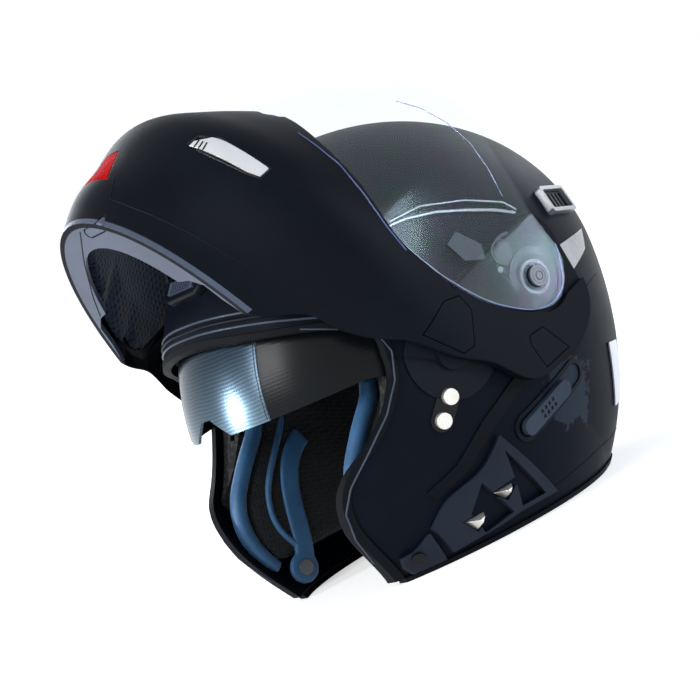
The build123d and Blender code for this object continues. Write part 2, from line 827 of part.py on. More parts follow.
with BuildPart() as crown_pad:
    add(head_form(-seat_gap))
    add(head_form(-comfort_thickness), mode=Mode.SUBTRACT)
    split(bisect_by=Plane.XY.offset(comfort_low_z), keep=Keep.TOP)
    with BuildSketch(side_plane(helmet_frame, 0)):
        add(opening_outline(2 * liner_setback))
    extrude(amount=arm_face, both=True, mode=Mode.SUBTRACT)
    with BuildSketch(front_plane(helmet_frame, sun_visor_y)):
        with Locations((0, passage_z)):
            Ellipse(passage_half_width + seat_gap, passage_half_height + seat_gap)
    extrude(amount=jaw_half_length, mode=Mode.SUBTRACT)
keep(crown_pad, "crown_pad")

cheek_outer = head_form(-seat_gap)
cheek_inner = head_form(-cheek_thickness)

with BuildSketch() as cheek_outline:
    with BuildLine():
        cheek_front = Spline(side_outline(cheek_front_shares))
        start, end = cheek_front @ 0, cheek_front @ 1
        Polyline(end, *side_outline(cheek_back_shares), start)
    make_face()

with BuildPart() as cheek_pad_left:
    with BuildSketch(side_plane(helmet_frame, 0)):
        add(cheek_outline.sketch)
    extrude(amount=arm_face)
    add(cheek_outer, mode=Mode.INTERSECT)
    add(cheek_inner, mode=Mode.SUBTRACT)
    add(padding_form, mode=Mode.INTERSECT)
keep(cheek_pad_left, "cheek_pad_left")
keep(other_side(cheek_pad_left), "cheek_pad_right")

# A roll along the front edge of each cheek pad

roll_x = passage_half_width - cheek_thickness + roll_radius
roll_points = [(place.X, place.Y) for place in beside(cheek_front, -roll_radius - seat_gap)]

with BuildPart() as cheek_roll_left:
    with BuildLine(side_plane(helmet_frame, roll_x)):
        roll_path = Spline(roll_points)
    with BuildSketch(Plane(origin=roll_path @ 0, z_dir=roll_path % 0)):
        Circle(roll_radius)
    sweep(path=roll_path)
    add(padding_form, mode=Mode.INTERSECT)
keep(cheek_roll_left, "cheek_roll_left")
keep(other_side(cheek_roll_left), "cheek_roll_right")

with BuildPart() as neck_roll:
    add(padding_form)
    split(bisect_by=Plane.XY.offset(liner_low_z - seat_gap), keep=Keep.BOTTOM)
    split(bisect_by=Plane.XY.offset(bottom_seal_height + seat_gap), keep=Keep.TOP)
    with BuildSketch(Plane.XY.offset(liner_low_z / 2)):
        with Locations((0, head_y)):
            Ellipse(passage_half_width - cheek_thickness, head_half_length - 3 * comfort_thickness)
        with Locations((0, -jaw_half_length)):
            Rectangle(2 * arm_face, 2 * jaw_half_length + head_y)
    extrude(amount=liner_low_z, both=True, mode=Mode.SUBTRACT)
keep(neck_roll, "neck_roll")


# Pins that carry the chin bar and the sun visor

with BuildPart() as hinge_pins:
    with BuildSketch(Plane.YZ):
        with Locations((hinge_y, hinge_z)):
            Circle(hinge_pin_radius)
    extrude(amount=arm_inside + hinge_pin_grip, both=True)
    add(inner_form, mode=Mode.SUBTRACT)
keep(hinge_pins, "hinge_pins")

with BuildPart() as sun_visor_pins:
    with BuildSketch(Plane.YZ):
        with Locations((sun_visor_y, sun_visor_z)):
            Circle(sun_visor_pin_radius)
    extrude(amount=arm_face, both=True)
    add(inner_form, mode=Mode.INTERSECT)
    with BuildSketch(Plane.YZ):
        with Locations((sun_visor_y, sun_visor_z)):
            Circle(2 * sun_visor_pin_radius)
    extrude(amount=sun_visor_half_width - 2 * sun_visor_thickness, both=True, mode=Mode.SUBTRACT)
keep(sun_visor_pins, "sun_visor_pins")


# Panels on the shell

cover_form = shell_form(cover_proud)

with BuildSketch() as closed_chin_outline:
    with BuildLine():
        drawn = Spline(side_outline(chin_rear_edge_shares), mode=Mode.PRIVATE)
        rear = Spline(beside(drawn, -part_line))
        start, end = rear @ 0, rear @ 1
        top_z = arm_top_shares[0][1] * helmet_height
        Polyline(end, (end.X, top_z), (chin_low_y, top_z), (chin_low_y, chin_low_z - part_line), start)
    make_face()


def shell_panel(points, high_form, under_chin=True):
    """A panel on the shell's left side, cut to a side outline and clear of the closed chin bar."""
    with BuildPart() as panel:
        with BuildSketch(side_plane(helmet_frame, 0)):
            with BuildLine():
                Polyline(*points, close=True)
            make_face()
            if not under_chin:
                add(closed_chin_outline.sketch, mode=Mode.SUBTRACT)
        extrude(amount=arm_face)
        add(high_form, mode=Mode.INTERSECT)
        add(seat_form, mode=Mode.SUBTRACT)
    return panel


cover_blank = shell_panel(side_outline(side_cover_shares), cover_form, under_chin=False)
with BuildPart() as side_cover_left:
    add(cover_blank.part)
    for shares in side_vent_recess_shares:
        with BuildSketch(side_plane(helmet_frame, 0)):
            with BuildLine():
                Polyline(*side_outline(shares), close=True)
            make_face()
        extrude(amount=arm_face, mode=Mode.SUBTRACT)
    for shares in blade_shares:
        with BuildSketch(side_plane(helmet_frame, 0)):
            with BuildLine():
                Polyline(*side_outline(shares), close=True)
            make_face()
            offset(amount=2 * blade_gap, kind=Kind.INTERSECTION)
        extrude(amount=arm_face, mode=Mode.SUBTRACT)
keep(side_cover_left, "side_cover_left")
keep(other_side(side_cover_left), "side_cover_right")

with BuildPart() as blades_left:
    for shares in blade_shares:
        points = side_outline(shares)
        skin_x = shell_skin(*points[0]).origin.X
        with BuildSketch(side_plane(helmet_frame, skin_x - blade_height)):
            with BuildLine():
                Polyline(*points, close=True)
            make_face()
            offset(amount=blade_gap, kind=Kind.INTERSECTION)
        extrude(amount=2 * blade_height, taper=blade_taper)
    add(seat_form, mode=Mode.SUBTRACT)
with BuildPart() as vent_blades:
    add(blades_left.part)
    mirror(blades_left.part, about=Plane.YZ)
keep(vent_blades, "vent_blades")

seam_left = shell_panel(side_outline(seam_shares), trim_form)
keep(seam_left, "seam_seal_left")
keep(other_side(seam_left), "seam_seal_right")

tab_left = shell_panel(side_outline(tab_shares), cover_form, under_chin=False)
keep(tab_left, "front_tab_left")
keep(other_side(tab_left), "front_tab_right")

badge_left = shell_panel(side_outline(badge_shares), trim_form)
with BuildPart() as side_badges:
    add(badge_left.part)
    mirror(badge_left.part, about=Plane.YZ)
keep(side_badges, "side_badges")

reflector_left = shell_panel(side_outline(reflector_shares), trim_form)
with BuildPart() as reflectors:
    add(reflector_left.part)
    mirror(reflector_left.part, about=Plane.YZ)
keep(reflectors, "reflectors")

with BuildPart() as screws_left:
    with BuildSketch(shell_skin(screw_y, screw_z, cover_proud / 2)):
        Circle(screw_radius)
    extrude(amount=cover_proud / 2 + screw_height)
    add(cover_form, mode=Mode.SUBTRACT)
with BuildPart() as tab_screws:
    add(screws_left.part)
    mirror(screws_left.part, about=Plane.YZ)
keep(tab_screws, "tab_screws")

with BuildPart() as base_disc_left:
    with BuildSketch(side_plane(helmet_frame, 0)):
        with Locations((disc_y, disc_z)):
            Circle(disc_radius)
        with Locations(*pin_places):
            Circle(pin_radius + 2 * part_line, mode=Mode.SUBTRACT)
    extrude(amount=arm_face)
    add(trim_form, mode=Mode.INTERSECT)
    with BuildSketch(shell_skin(disc_y, disc_z)):
        Circle(disc_boss_radius)
    extrude(amount=disc_boss_height)
    add(seat_form, mode=Mode.SUBTRACT)
keep(base_disc_left, "base_disc_left")
keep(other_side(base_disc_left), "base_disc_right")

with BuildPart() as pins_left:
    for y, z in pin_places:
        with BuildSketch(shell_skin(y, z, -pin_height / 2)):
            Circle(pin_radius)
        extrude(amount=3 * pin_height / 2)
    add(seat_form, mode=Mode.SUBTRACT)
with BuildPart() as lock_pins:
    add(pins_left.part)
    mirror(pins_left.part, about=Plane.YZ)
keep(lock_pins, "lock_pins")


# Sun visor slider, on the left only

slider_skin = shell_skin(slider_y, slider_z)
slider_plane = Plane(
    origin=slider_skin.origin,
    x_dir=slider_skin.x_dir.rotate(Axis((0, 0, 0), slider_skin.z_dir), slider_tilt),
    z_dir=slider_skin.z_dir,
)
bezel_length = slider_length + slider_travel + 2 * bezel_gap

with BuildPart() as slider_bezel:
    with BuildSketch(slider_plane.offset(-overrun / 4)):
        with Locations((slider_travel / 2, 0)):
            SlotOverall(bezel_length + 2 * bezel_wall, slider_width + 2 * bezel_gap + 2 * bezel_wall)
            SlotOverall(bezel_length, slider_width + 2 * bezel_gap, mode=Mode.SUBTRACT)
    extrude(amount=overrun / 2)
    add(trim_form, mode=Mode.INTERSECT)
    add(seat_form, mode=Mode.SUBTRACT)
keep(slider_bezel, "slider_bezel")

with BuildPart() as sun_visor_slider:
    with BuildSketch(slider_plane.offset(slider_lift)):
        SlotOverall(slider_length, slider_width)
    extrude(amount=slider_height)
    with BuildSketch(slider_plane.offset(slider_lift + slider_height)):
        with GridLocations(dimple_pitch, dimple_pitch, 4, 2):
            Rectangle(dimple_size, dimple_size)
    extrude(amount=-dimple_depth, mode=Mode.SUBTRACT)
keep(sun_visor_slider, "sun_visor_slider")


# Rear exhaust vents

vent_plane = shell_skin(vent_y, vent_z)
with BuildPart() as rear_vent_left:
    with BuildSketch(vent_plane.offset(-vent_proud)):
        RectangleRounded(vent_length, vent_height, vent_wall)
    extrude(amount=2 * vent_proud)
    with BuildSketch(vent_plane.offset(-vent_proud)):
        RectangleRounded(vent_length - 2 * vent_wall, vent_height - 2 * vent_wall, vent_wall / 2)
    extrude(amount=2 * vent_proud, mode=Mode.SUBTRACT)
    add(seat_form, mode=Mode.SUBTRACT)
keep(rear_vent_left, "rear_vent_left")
keep(other_side(rear_vent_left), "rear_vent_right")

with BuildPart() as grille_left:
    with BuildSketch(vent_plane.offset(-vent_proud)):
        RectangleRounded(
            vent_length - 2 * vent_wall - 2 * part_line, vent_height - 2 * vent_wall - 2 * part_line, vent_wall / 2
        )
        with GridLocations(vent_slot_pitch, vent_slot_pitch, 5, 1):
            Rectangle(vent_slot_width, vent_height / 2, mode=Mode.SUBTRACT)
    extrude(amount=2 * vent_proud - vent_wall)
    add(seat_form, mode=Mode.SUBTRACT)
with BuildPart() as vent_grilles:
    add(grille_left.part)
    mirror(grille_left.part, about=Plane.YZ)
keep(vent_grilles, "vent_grilles")


# Brow vent with a ribbed shutter

# Its underside is part of a ball that follows the crown there
brow_vent_rise = crown_rise * sqrt(1 - ((brow_vent_y - crown_y) / shell_half_length) ** 2)
brow_slope = Vector(0, (brow_vent_y - crown_y) / shell_half_length**2, brow_vent_rise / crown_rise**2)
brow_plane = Plane(origin=(0, brow_vent_y, crown_z + brow_vent_rise), x_dir=(1, 0, 0), z_dir=brow_slope)
brow_ball_radius = shell_half_width**2 * brow_slope.length

with BuildPart() as brow_vent:
    with BuildSketch(brow_plane.offset(-brow_vent_height)):
        RectangleRounded(brow_vent_length, brow_vent_width, brow_vent_width / 3)
    extrude(amount=2 * brow_vent_height)
    vent_top = brow_vent.faces().sort_by(Axis(brow_plane.origin, brow_plane.z_dir))[-1]
    fillet(vent_top.edges(), brow_vent_round)
    with BuildSketch(brow_plane.offset(brow_vent_height)):
        Rectangle(
            brow_shutter_length + 2 * part_line, brow_shutter_width + brow_shutter_travel + 2 * part_line
        )
    extrude(amount=-brow_vent_height / 2, mode=Mode.SUBTRACT)
    with Locations(brow_plane.origin - brow_plane.z_dir * (brow_ball_radius - 2 * running_gap)):
        Sphere(brow_ball_radius, mode=Mode.SUBTRACT)
keep(brow_vent, "brow_vent")

with BuildPart() as brow_shutter:
    with BuildSketch(brow_plane.offset(brow_vent_height / 2 + seat_gap)):
        with Locations((0, -brow_shutter_travel / 2)):
            Rectangle(brow_shutter_length, brow_shutter_width)
    extrude(amount=brow_vent_height / 2 + 3 * seat_gap)
    with BuildSketch(brow_plane.offset(brow_vent_height + 4 * seat_gap)):
        with Locations((0, -brow_shutter_travel / 2)):
            with GridLocations(rib_pitch, rib_pitch, 10, 1):
                Rectangle(rib_width, brow_shutter_width)
    extrude(amount=-rib_depth, mode=Mode.SUBTRACT)
keep(brow_shutter, "brow_shutter")


# Chin straps: padded, down the inner face of each cheek pad to a round tab with a snap

strap_x = passage_half_width - cheek_thickness - seat_gap

with BuildSketch() as strap_outline:
    with BuildLine():
        strap_line = Spline(side_outline(strap_shares), mode=Mode.PRIVATE)
        strap_front = Polyline(beside(strap_line, -strap_width / 2))
        strap_back = Polyline(beside(strap_line, strap_width / 2))
        Line(strap_front @ 0, strap_back @ 0)
        Line(strap_front @ 1, strap_back @ 1)
    make_face()
    with Locations(side_outline(strap_shares)[-1]):
        Circle(strap_tab_radius)

with BuildPart() as chin_strap_left:
    with BuildSketch(side_plane(helmet_frame, strap_x)):
        add(strap_outline.sketch)
    extrude(amount=-strap_thickness)
keep(chin_strap_left, "chin_strap_left")
keep(other_side(chin_strap_left), "chin_strap_right")

with BuildPart() as strap_snap:
    with BuildSketch(side_plane(helmet_frame, strap_thickness - strap_x)):
        with Locations(side_outline(strap_shares)[-1]):
            Circle(snap_radius)
    extrude(amount=snap_height)
keep(strap_snap, "strap_snap")
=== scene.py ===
import json
from math import atan2, cos, pi, radians, sin, sqrt

import bmesh
import bpy
from mathutils import Matrix, Vector
from mathutils.bvhtree import BVHTree


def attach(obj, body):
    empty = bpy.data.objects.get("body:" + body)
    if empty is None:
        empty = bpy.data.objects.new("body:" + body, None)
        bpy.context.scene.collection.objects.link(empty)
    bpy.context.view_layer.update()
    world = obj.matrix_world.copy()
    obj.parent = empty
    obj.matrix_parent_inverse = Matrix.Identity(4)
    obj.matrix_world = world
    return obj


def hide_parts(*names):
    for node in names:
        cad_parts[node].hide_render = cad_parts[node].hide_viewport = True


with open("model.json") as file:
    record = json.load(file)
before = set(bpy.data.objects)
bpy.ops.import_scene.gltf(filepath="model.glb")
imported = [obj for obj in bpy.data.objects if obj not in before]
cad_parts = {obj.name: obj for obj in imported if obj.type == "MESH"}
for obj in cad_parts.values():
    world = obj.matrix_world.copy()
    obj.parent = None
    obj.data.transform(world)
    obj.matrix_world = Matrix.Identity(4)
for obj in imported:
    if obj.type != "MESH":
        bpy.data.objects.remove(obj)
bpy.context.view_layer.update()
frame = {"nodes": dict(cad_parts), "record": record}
nodes = frame["nodes"]
bodies = {node: body for body, members in frame["record"]["behaviour"]["bodies"].items() for node in members}
scene = bpy.context.scene

# Sides of the helmet: sign of x, and the label in the names of pieces
SIDES = ((1, "left"), (-1, "right"))

# Hinge line and opening angle of the chin bar, to place pieces by the closed helmet's numbers
HINGE_Y = 0.01425
HINGE_Z = 0.1235
OPEN = radians(74)


def opened(x, y, z):
    """A point of the closed chin bar or visor, in the raised pose of the photograph."""
    behind = y - HINGE_Y
    above = z - HINGE_Z
    return Vector((
        x,
        HINGE_Y + behind * cos(OPEN) + above * sin(OPEN),
        HINGE_Z - behind * sin(OPEN) + above * cos(OPEN),
    ))


# Camera fitted to the photograph: angles from degrees, lengths in metres, sensor in millimetres
AZIMUTH = radians(56.603)
ELEVATION = radians(3.694)
ROLL = radians(-23.951)
DISTANCE = 1.332565
TARGET = Vector((0.000935, -0.008526, 0.129659))
PICTURE_PIXELS = 700
FOCAL_PIXELS = 2191.5
SENSOR_WIDTH = 36
NEAR_CLIP = 0.05
FAR_CLIP = 50

back = Vector((sin(AZIMUTH) * cos(ELEVATION), -cos(AZIMUTH) * cos(ELEVATION), sin(ELEVATION)))
level = Vector((cos(AZIMUTH), sin(AZIMUTH), 0))
up = back.cross(level)
across = level * cos(ROLL) + up * sin(ROLL)
upward = up * cos(ROLL) - level * sin(ROLL)
camera_data = bpy.data.cameras.new("camera")
camera_data.sensor_width = SENSOR_WIDTH
camera_data.lens = FOCAL_PIXELS / PICTURE_PIXELS * SENSOR_WIDTH
camera_data.clip_start = NEAR_CLIP
camera_data.clip_end = FAR_CLIP
camera = bpy.data.objects.new("camera", camera_data)
scene.collection.objects.link(camera)
turned = Matrix((across, upward, back)).transposed().to_4x4()
camera.matrix_world = Matrix.Translation(TARGET + back * DISTANCE) @ turned
scene.camera = camera
scene.view_settings.view_transform = "Standard"


# Shader building blocks

# Spans of a pattern's value between which a finish goes from its one end to its other
UNIT = (0, 1)
MILD = (0.35, 0.65)
BROAD = (0.3, 0.7)
FULL = (0.2, 0.8)
# Sockets of a Mix node that mixes colours
MIX_FACTOR = 0
MIX_FIRST = 6
MIX_SECOND = 7
MIX_RESULT = 2
BEVEL_SAMPLES = 4


def new_material(name, **values):
    """A material with a Principled shader whose plain sockets are set by name."""
    made = bpy.data.materials.new(name)
    made.use_nodes = True
    shader = made.node_tree.nodes["Principled BSDF"]
    for socket, value in values.items():
        shader.inputs[socket.replace("_", " ").title().replace("Ior", "IOR")].default_value = value
    return made, made.node_tree, shader


def link(tree, output, target):
    tree.links.new(output, target)


def coordinates(tree, scale=(1, 1, 1), turn=(0, 0, 0)):
    """Object coordinates in metres, scaled and turned."""
    source = tree.nodes.new("ShaderNodeTexCoord")
    mapping = tree.nodes.new("ShaderNodeMapping")
    mapping.inputs["Scale"].default_value = scale
    mapping.inputs["Rotation"].default_value = turn
    link(tree, source.outputs["Object"], mapping.inputs["Vector"])
    return mapping.outputs["Vector"]


def noise_field(tree, vector, scale, detail=3.0, roughness=0.6):
    field = tree.nodes.new("ShaderNodeTexNoise")
    field.inputs["Scale"].default_value = scale
    field.inputs["Detail"].default_value = detail
    field.inputs["Roughness"].default_value = roughness
    link(tree, vector, field.inputs["Vector"])
    return field.outputs["Fac"]


def cells(tree, vector, scale, randomness=1.0, feature="F1"):
    field = tree.nodes.new("ShaderNodeTexVoronoi")
    field.feature = feature
    field.inputs["Scale"].default_value = scale
    field.inputs["Randomness"].default_value = randomness
    link(tree, vector, field.inputs["Vector"])
    return field.outputs["Distance"]


def remap(tree, value, source, result):
    """The value, moved and scaled so that the source span becomes the result span."""
    node = tree.nodes.new("ShaderNodeMapRange")
    for socket, number in zip(("From Min", "From Max", "To Min", "To Max"), (*source, *result)):
        node.inputs[socket].default_value = number
    link(tree, value, node.inputs["Value"])
    return node.outputs["Result"]


def blend_colours(tree, factor, first, second):
    """A colour that goes from first to second; either may be a colour or a socket."""
    node = tree.nodes.new("ShaderNodeMix")
    node.data_type = "RGBA"
    for slot, colour in ((MIX_FIRST, first), (MIX_SECOND, second)):
        if hasattr(colour, "links"):
            link(tree, colour, node.inputs[slot])
        else:
            node.inputs[slot].default_value = (*colour, 1)
    link(tree, factor, node.inputs[MIX_FACTOR])
    return node.outputs[MIX_RESULT]


def combine(tree, operation, first, second):
    """A sum, product or the like; either value may be a number or a socket."""
    node = tree.nodes.new("ShaderNodeMath")
    node.operation = operation
    for slot, value in enumerate((first, second)):
        if hasattr(value, "links"):
            link(tree, value, node.inputs[slot])
        else:
            node.inputs[slot].default_value = value
    return node.outputs[0]


def bumped(tree, shader, height, strength, distance, bevel=0.0):
    """Bumps from a height field, over edges rounded by the bevel's radius."""
    bump = tree.nodes.new("ShaderNodeBump")
    bump.inputs["Strength"].default_value = strength
    bump.inputs["Distance"].default_value = distance
    link(tree, height, bump.inputs["Height"])
    if bevel:
        rounding = tree.nodes.new("ShaderNodeBevel")
        rounding.samples = BEVEL_SAMPLES
        rounding.inputs["Radius"].default_value = bevel
        link(tree, rounding.outputs["Normal"], bump.inputs["Normal"])
    link(tree, bump.outputs["Normal"], shader.inputs["Normal"])


# Kinds of material. Scales are in repeats per metre, depths and radii in metres.

DRIFT_SCALE = 14
GRAIN_SCALE = 2600
GRAIN_DEPTH = 0.00003
PLASTIC_EDGE = 0.0006
PAINTED_EDGE = 0.0012
PLASTIC_GRAIN = 0.5
PAINT_GRAIN = 0.25
# How much the drift and the grain each change a moulding's gloss
DRIFT_SHARE = 0.7
GRAIN_SHARE = 0.3


def moulded(
    name, dark, light, rough, grain=GRAIN_SCALE, bevel=PLASTIC_EDGE, strength=PLASTIC_GRAIN, **values
):
    """Moulded plastic or metal: a slow drift of colour and gloss, a fine grain, rounded edges."""
    made, tree, shader = new_material(name, **values)
    place = coordinates(tree)
    drift = noise_field(tree, place, DRIFT_SCALE, detail=4)
    fine = noise_field(tree, place, grain, detail=2)
    link(tree, blend_colours(tree, remap(tree, drift, MILD, UNIT), dark, light), shader.inputs["Base Color"])
    drift_part = combine(tree, "MULTIPLY", drift, DRIFT_SHARE)
    fine_part = combine(tree, "MULTIPLY", fine, GRAIN_SHARE)
    mixed = combine(tree, "ADD", drift_part, fine_part)
    link(tree, remap(tree, mixed, MILD, rough), shader.inputs["Roughness"])
    bumped(tree, shader, fine, strength, GRAIN_DEPTH, bevel)
    return made


# Painted reflection: a paler blotch on the paint behind the slider, where a broad reflection falls: centre,
# radii between which it fades, and how far its edge wanders
REFLECTION_CENTRE = (0.1110, 0.0480, 0.0620)
REFLECTION_RADII = (0.0195, 0.0210)
REFLECTION_WANDER = 0.018
REFLECTION_EDGE_SCALE = 60
PAINTED_REFLECTION_COLOUR = (0.020, 0.029, 0.043)
PAINT_ROUGHNESS = (0.42, 0.52)


def shell_paint(name, dark, light):
    """Matt black paint with a paler blotch behind the slider, which is a painted reflection."""
    made, tree, shader = new_material(name, specular_ior_level=0.05)
    place = coordinates(tree)
    drift = noise_field(tree, place, DRIFT_SCALE, detail=4)
    fine = noise_field(tree, place, GRAIN_SCALE, detail=2)
    paint = blend_colours(tree, remap(tree, drift, MILD, UNIT), dark, light)
    away = tree.nodes.new("ShaderNodeVectorMath")
    away.operation = "DISTANCE"
    away.inputs[1].default_value = REFLECTION_CENTRE
    link(tree, place, away.inputs[0])
    ragged = noise_field(tree, place, REFLECTION_EDGE_SCALE, detail=6, roughness=0.7)
    wander = remap(tree, ragged, BROAD, (-REFLECTION_WANDER, REFLECTION_WANDER))
    # Painted reflection: the paler colour is mixed in near the centre and fades out between the radii
    painted_reflection = remap(tree, combine(tree, "ADD", away.outputs["Value"], wander), REFLECTION_RADII, (1, 0))
    link(tree, blend_colours(tree, painted_reflection, paint, PAINTED_REFLECTION_COLOUR), shader.inputs["Base Color"])
    link(tree, remap(tree, drift, MILD, PAINT_ROUGHNESS), shader.inputs["Roughness"])
    bumped(tree, shader, fine, PAINT_GRAIN, GRAIN_DEPTH, PAINTED_EDGE)
    return made


BRUSH_SCALE = 700
BRUSH_STRETCH = 14
BRUSH_STRENGTH = 0.3
BRUSH_DEPTH = 0.00004
BRUSH_EDGE = 0.0004


def brushed(name, dark, light, rough):
    """Metal with fine lines drawn along it."""
    made, tree, shader = new_material(name, metallic=1.0)
    place = coordinates(tree, scale=(1, 1, BRUSH_STRETCH))
    lines = noise_field(tree, place, BRUSH_SCALE, detail=2)
    link(tree, blend_colours(tree, lines, dark, light), shader.inputs["Base Color"])
    link(tree, remap(tree, lines, BROAD, rough), shader.inputs["Roughness"])
    bumped(tree, shader, lines, BRUSH_STRENGTH, BRUSH_DEPTH, BRUSH_EDGE)
    return made


FIBRE_SCALE = 5000
KNIT_DRIFT_SCALE = 30
KNIT_TURN = (0.3, 0.5, 0.2)
HOLE_RANDOMNESS = 0.15
HOLE_TO_NET = (0.22, 0.55)
FADED_THREAD = 0.7
KNIT_ROUGHNESS = (0.75, 0.95)
FIBRE_SHARE = 0.25
NET_STRENGTH = 0.9
NET_DEPTH = 0.0006


def knit(name, dark, light, cell, sheen):
    """Spacer mesh fabric: small dark holes in a raised net."""
    made, tree, shader = new_material(name, sheen_weight=sheen, sheen_roughness=0.5, specular_ior_level=0.25)
    place = coordinates(tree, turn=KNIT_TURN)
    holes = cells(tree, place, 1 / cell, randomness=HOLE_RANDOMNESS)
    net = remap(tree, holes, HOLE_TO_NET, UNIT)
    fibre = noise_field(tree, place, FIBRE_SCALE, detail=2)
    wide = noise_field(tree, place, KNIT_DRIFT_SCALE, detail=3)
    faded = tuple(FADED_THREAD * channel for channel in light)
    threads = blend_colours(tree, remap(tree, wide, MILD, UNIT), faded, light)
    link(tree, blend_colours(tree, net, dark, threads), shader.inputs["Base Color"])
    link(tree, remap(tree, fibre, FULL, KNIT_ROUGHNESS), shader.inputs["Roughness"])
    height = combine(tree, "ADD", net, combine(tree, "MULTIPLY", fibre, FIBRE_SHARE))
    bumped(tree, shader, height, NET_STRENGTH, NET_DEPTH)
    return made


PEBBLE_SCALE = 900
LEATHER_DRIFT_SCALE = 45
CREASE_SCALE = 160
PEBBLE_SPAN = (0.1, 0.6)
PEBBLE_SHARE = 0.35
LEATHER_STRENGTH = 0.5
LEATHER_DEPTH = 0.0005


def leatherette(name, dark, light, rough=(0.38, 0.55)):
    """Soft grained leatherette: pebbles and creases, with a slow drift of colour."""
    made, tree, shader = new_material(name, sheen_weight=0.25, sheen_roughness=0.4, specular_ior_level=0.45)
    place = coordinates(tree)
    pebble = cells(tree, place, PEBBLE_SCALE, feature="SMOOTH_F1")
    wide = noise_field(tree, place, LEATHER_DRIFT_SCALE, detail=4)
    crease = noise_field(tree, place, CREASE_SCALE, detail=5, roughness=0.7)
    link(tree, blend_colours(tree, remap(tree, wide, BROAD, UNIT), dark, light), shader.inputs["Base Color"])
    link(tree, remap(tree, pebble, PEBBLE_SPAN, rough), shader.inputs["Roughness"])
    height = combine(tree, "ADD", combine(tree, "MULTIPLY", pebble, PEBBLE_SHARE), crease)
    bumped(tree, shader, height, LEATHER_STRENGTH, LEATHER_DEPTH)
    return made


FOAM_BEAD_SCALE = 330
FOAM_BEAD = (0, 0.7)
FOAM_SEAM = (0.2, 0.7)
FOAM_ROUGHNESS = (0.7, 0.95)
FOAM_STRENGTH = 0.6
FOAM_SEAM_DEPTH = 0.0004


def foam(name, dark, light):
    """Moulded bead foam: round beads, darker towards the seams between them."""
    made, tree, shader = new_material(name, specular_ior_level=0.3)
    place = coordinates(tree)
    beads = cells(tree, place, FOAM_BEAD_SCALE)
    seam = remap(tree, beads, FOAM_SEAM, UNIT)
    link(tree, blend_colours(tree, seam, light, dark), shader.inputs["Base Color"])
    link(tree, remap(tree, beads, FOAM_BEAD, FOAM_ROUGHNESS), shader.inputs["Roughness"])
    bumped(tree, shader, beads, FOAM_STRENGTH, -FOAM_SEAM_DEPTH)
    return made


SMEAR_SCALE = 22
HUE_SCALE = 38
GRAZING_POWER = 4
SHEET_WAVE_SCALE = 9
SHEET_WAVE_STRENGTH = 0.05
SHEET_WAVE_DEPTH = 0.002
FILM_PLAIN = (0.84, 0.92, 1.0)
FILM_PALE = (0.84, 0.93, 1.0)
FILM_GREEN = (0.62, 1.0, 0.80)
FILM_PURPLE = (0.90, 0.68, 1.0)
GREEN_TO_PALE = (0.42, 0.5)
PALE_TO_PURPLE = (0.53, 0.6)


def clear_sheet(name, tint, gloss, rough, haze, hues=0.0):
    """A clear sheet: a film that mirrors by the angle of view over a see-through layer, with faint hues."""
    made, tree, shader = new_material(name, metallic=1.0)
    place = coordinates(tree)
    smear = noise_field(tree, place, SMEAR_SCALE, detail=4)
    hue = noise_field(tree, place, HUE_SCALE, detail=5, roughness=0.7)
    greens = blend_colours(tree, remap(tree, hue, GREEN_TO_PALE, UNIT), FILM_GREEN, FILM_PALE)
    purples = blend_colours(tree, remap(tree, hue, PALE_TO_PURPLE, UNIT), greens, FILM_PURPLE)
    hue_share = tree.nodes.new("ShaderNodeValue")
    hue_share.outputs[0].default_value = hues
    film = blend_colours(tree, hue_share.outputs[0], FILM_PLAIN, purples)
    link(tree, film, shader.inputs["Base Color"])
    link(tree, remap(tree, smear, BROAD, rough), shader.inputs["Roughness"])
    wave = noise_field(tree, place, SHEET_WAVE_SCALE, detail=1)
    bumped(tree, shader, wave, SHEET_WAVE_STRENGTH, SHEET_WAVE_DEPTH)
    through = tree.nodes.new("ShaderNodeBsdfTransparent")
    through.inputs["Color"].default_value = (*tint, 1)
    facing = tree.nodes.new("ShaderNodeLayerWeight")
    facing.inputs["Blend"].default_value = 0.5
    grazing = combine(tree, "POWER", facing.outputs["Facing"], GRAZING_POWER)
    share = combine(tree, "ADD", combine(tree, "MULTIPLY", grazing, gloss), haze)
    mixer = tree.nodes.new("ShaderNodeMixShader")
    link(tree, share, mixer.inputs["Fac"])
    link(tree, through.outputs[0], mixer.inputs[1])
    link(tree, shader.outputs[0], mixer.inputs[2])
    link(tree, mixer.outputs[0], tree.nodes["Material Output"].inputs["Surface"])
    return made


# The sun visor's mirror ends at its creases; its colours run from the lower edge to the upper, lighter below
# and darker above as a painted reflection
MIRROR_END_X = (0.0465, 0.0475)
REFLECTION_FADE_Z = (0.118, 0.160)
LENS_LOWER_REFLECTION = ((0.075, 0.125, 0.165), (0.125, 0.180, 0.225))
LENS_UPPER_REFLECTION = ((0.020, 0.036, 0.060), (0.042, 0.058, 0.070))
WING_COLOUR = (0.003, 0.004, 0.005)
RIPPLES = {"Scale": 150, "Distortion": 3.5, "Detail": 1, "Detail Scale": 0.3}
RIPPLE_STRENGTH = 0.04
RIPPLE_DEPTH = 0.0003
LENS_GLOSS_SCALE = 30
LENS_ROUGHNESS = (0.22, 0.27)
# How metallic the mirror is, and the wing beyond it
MIRROR_METAL = (0.9, 0.0)


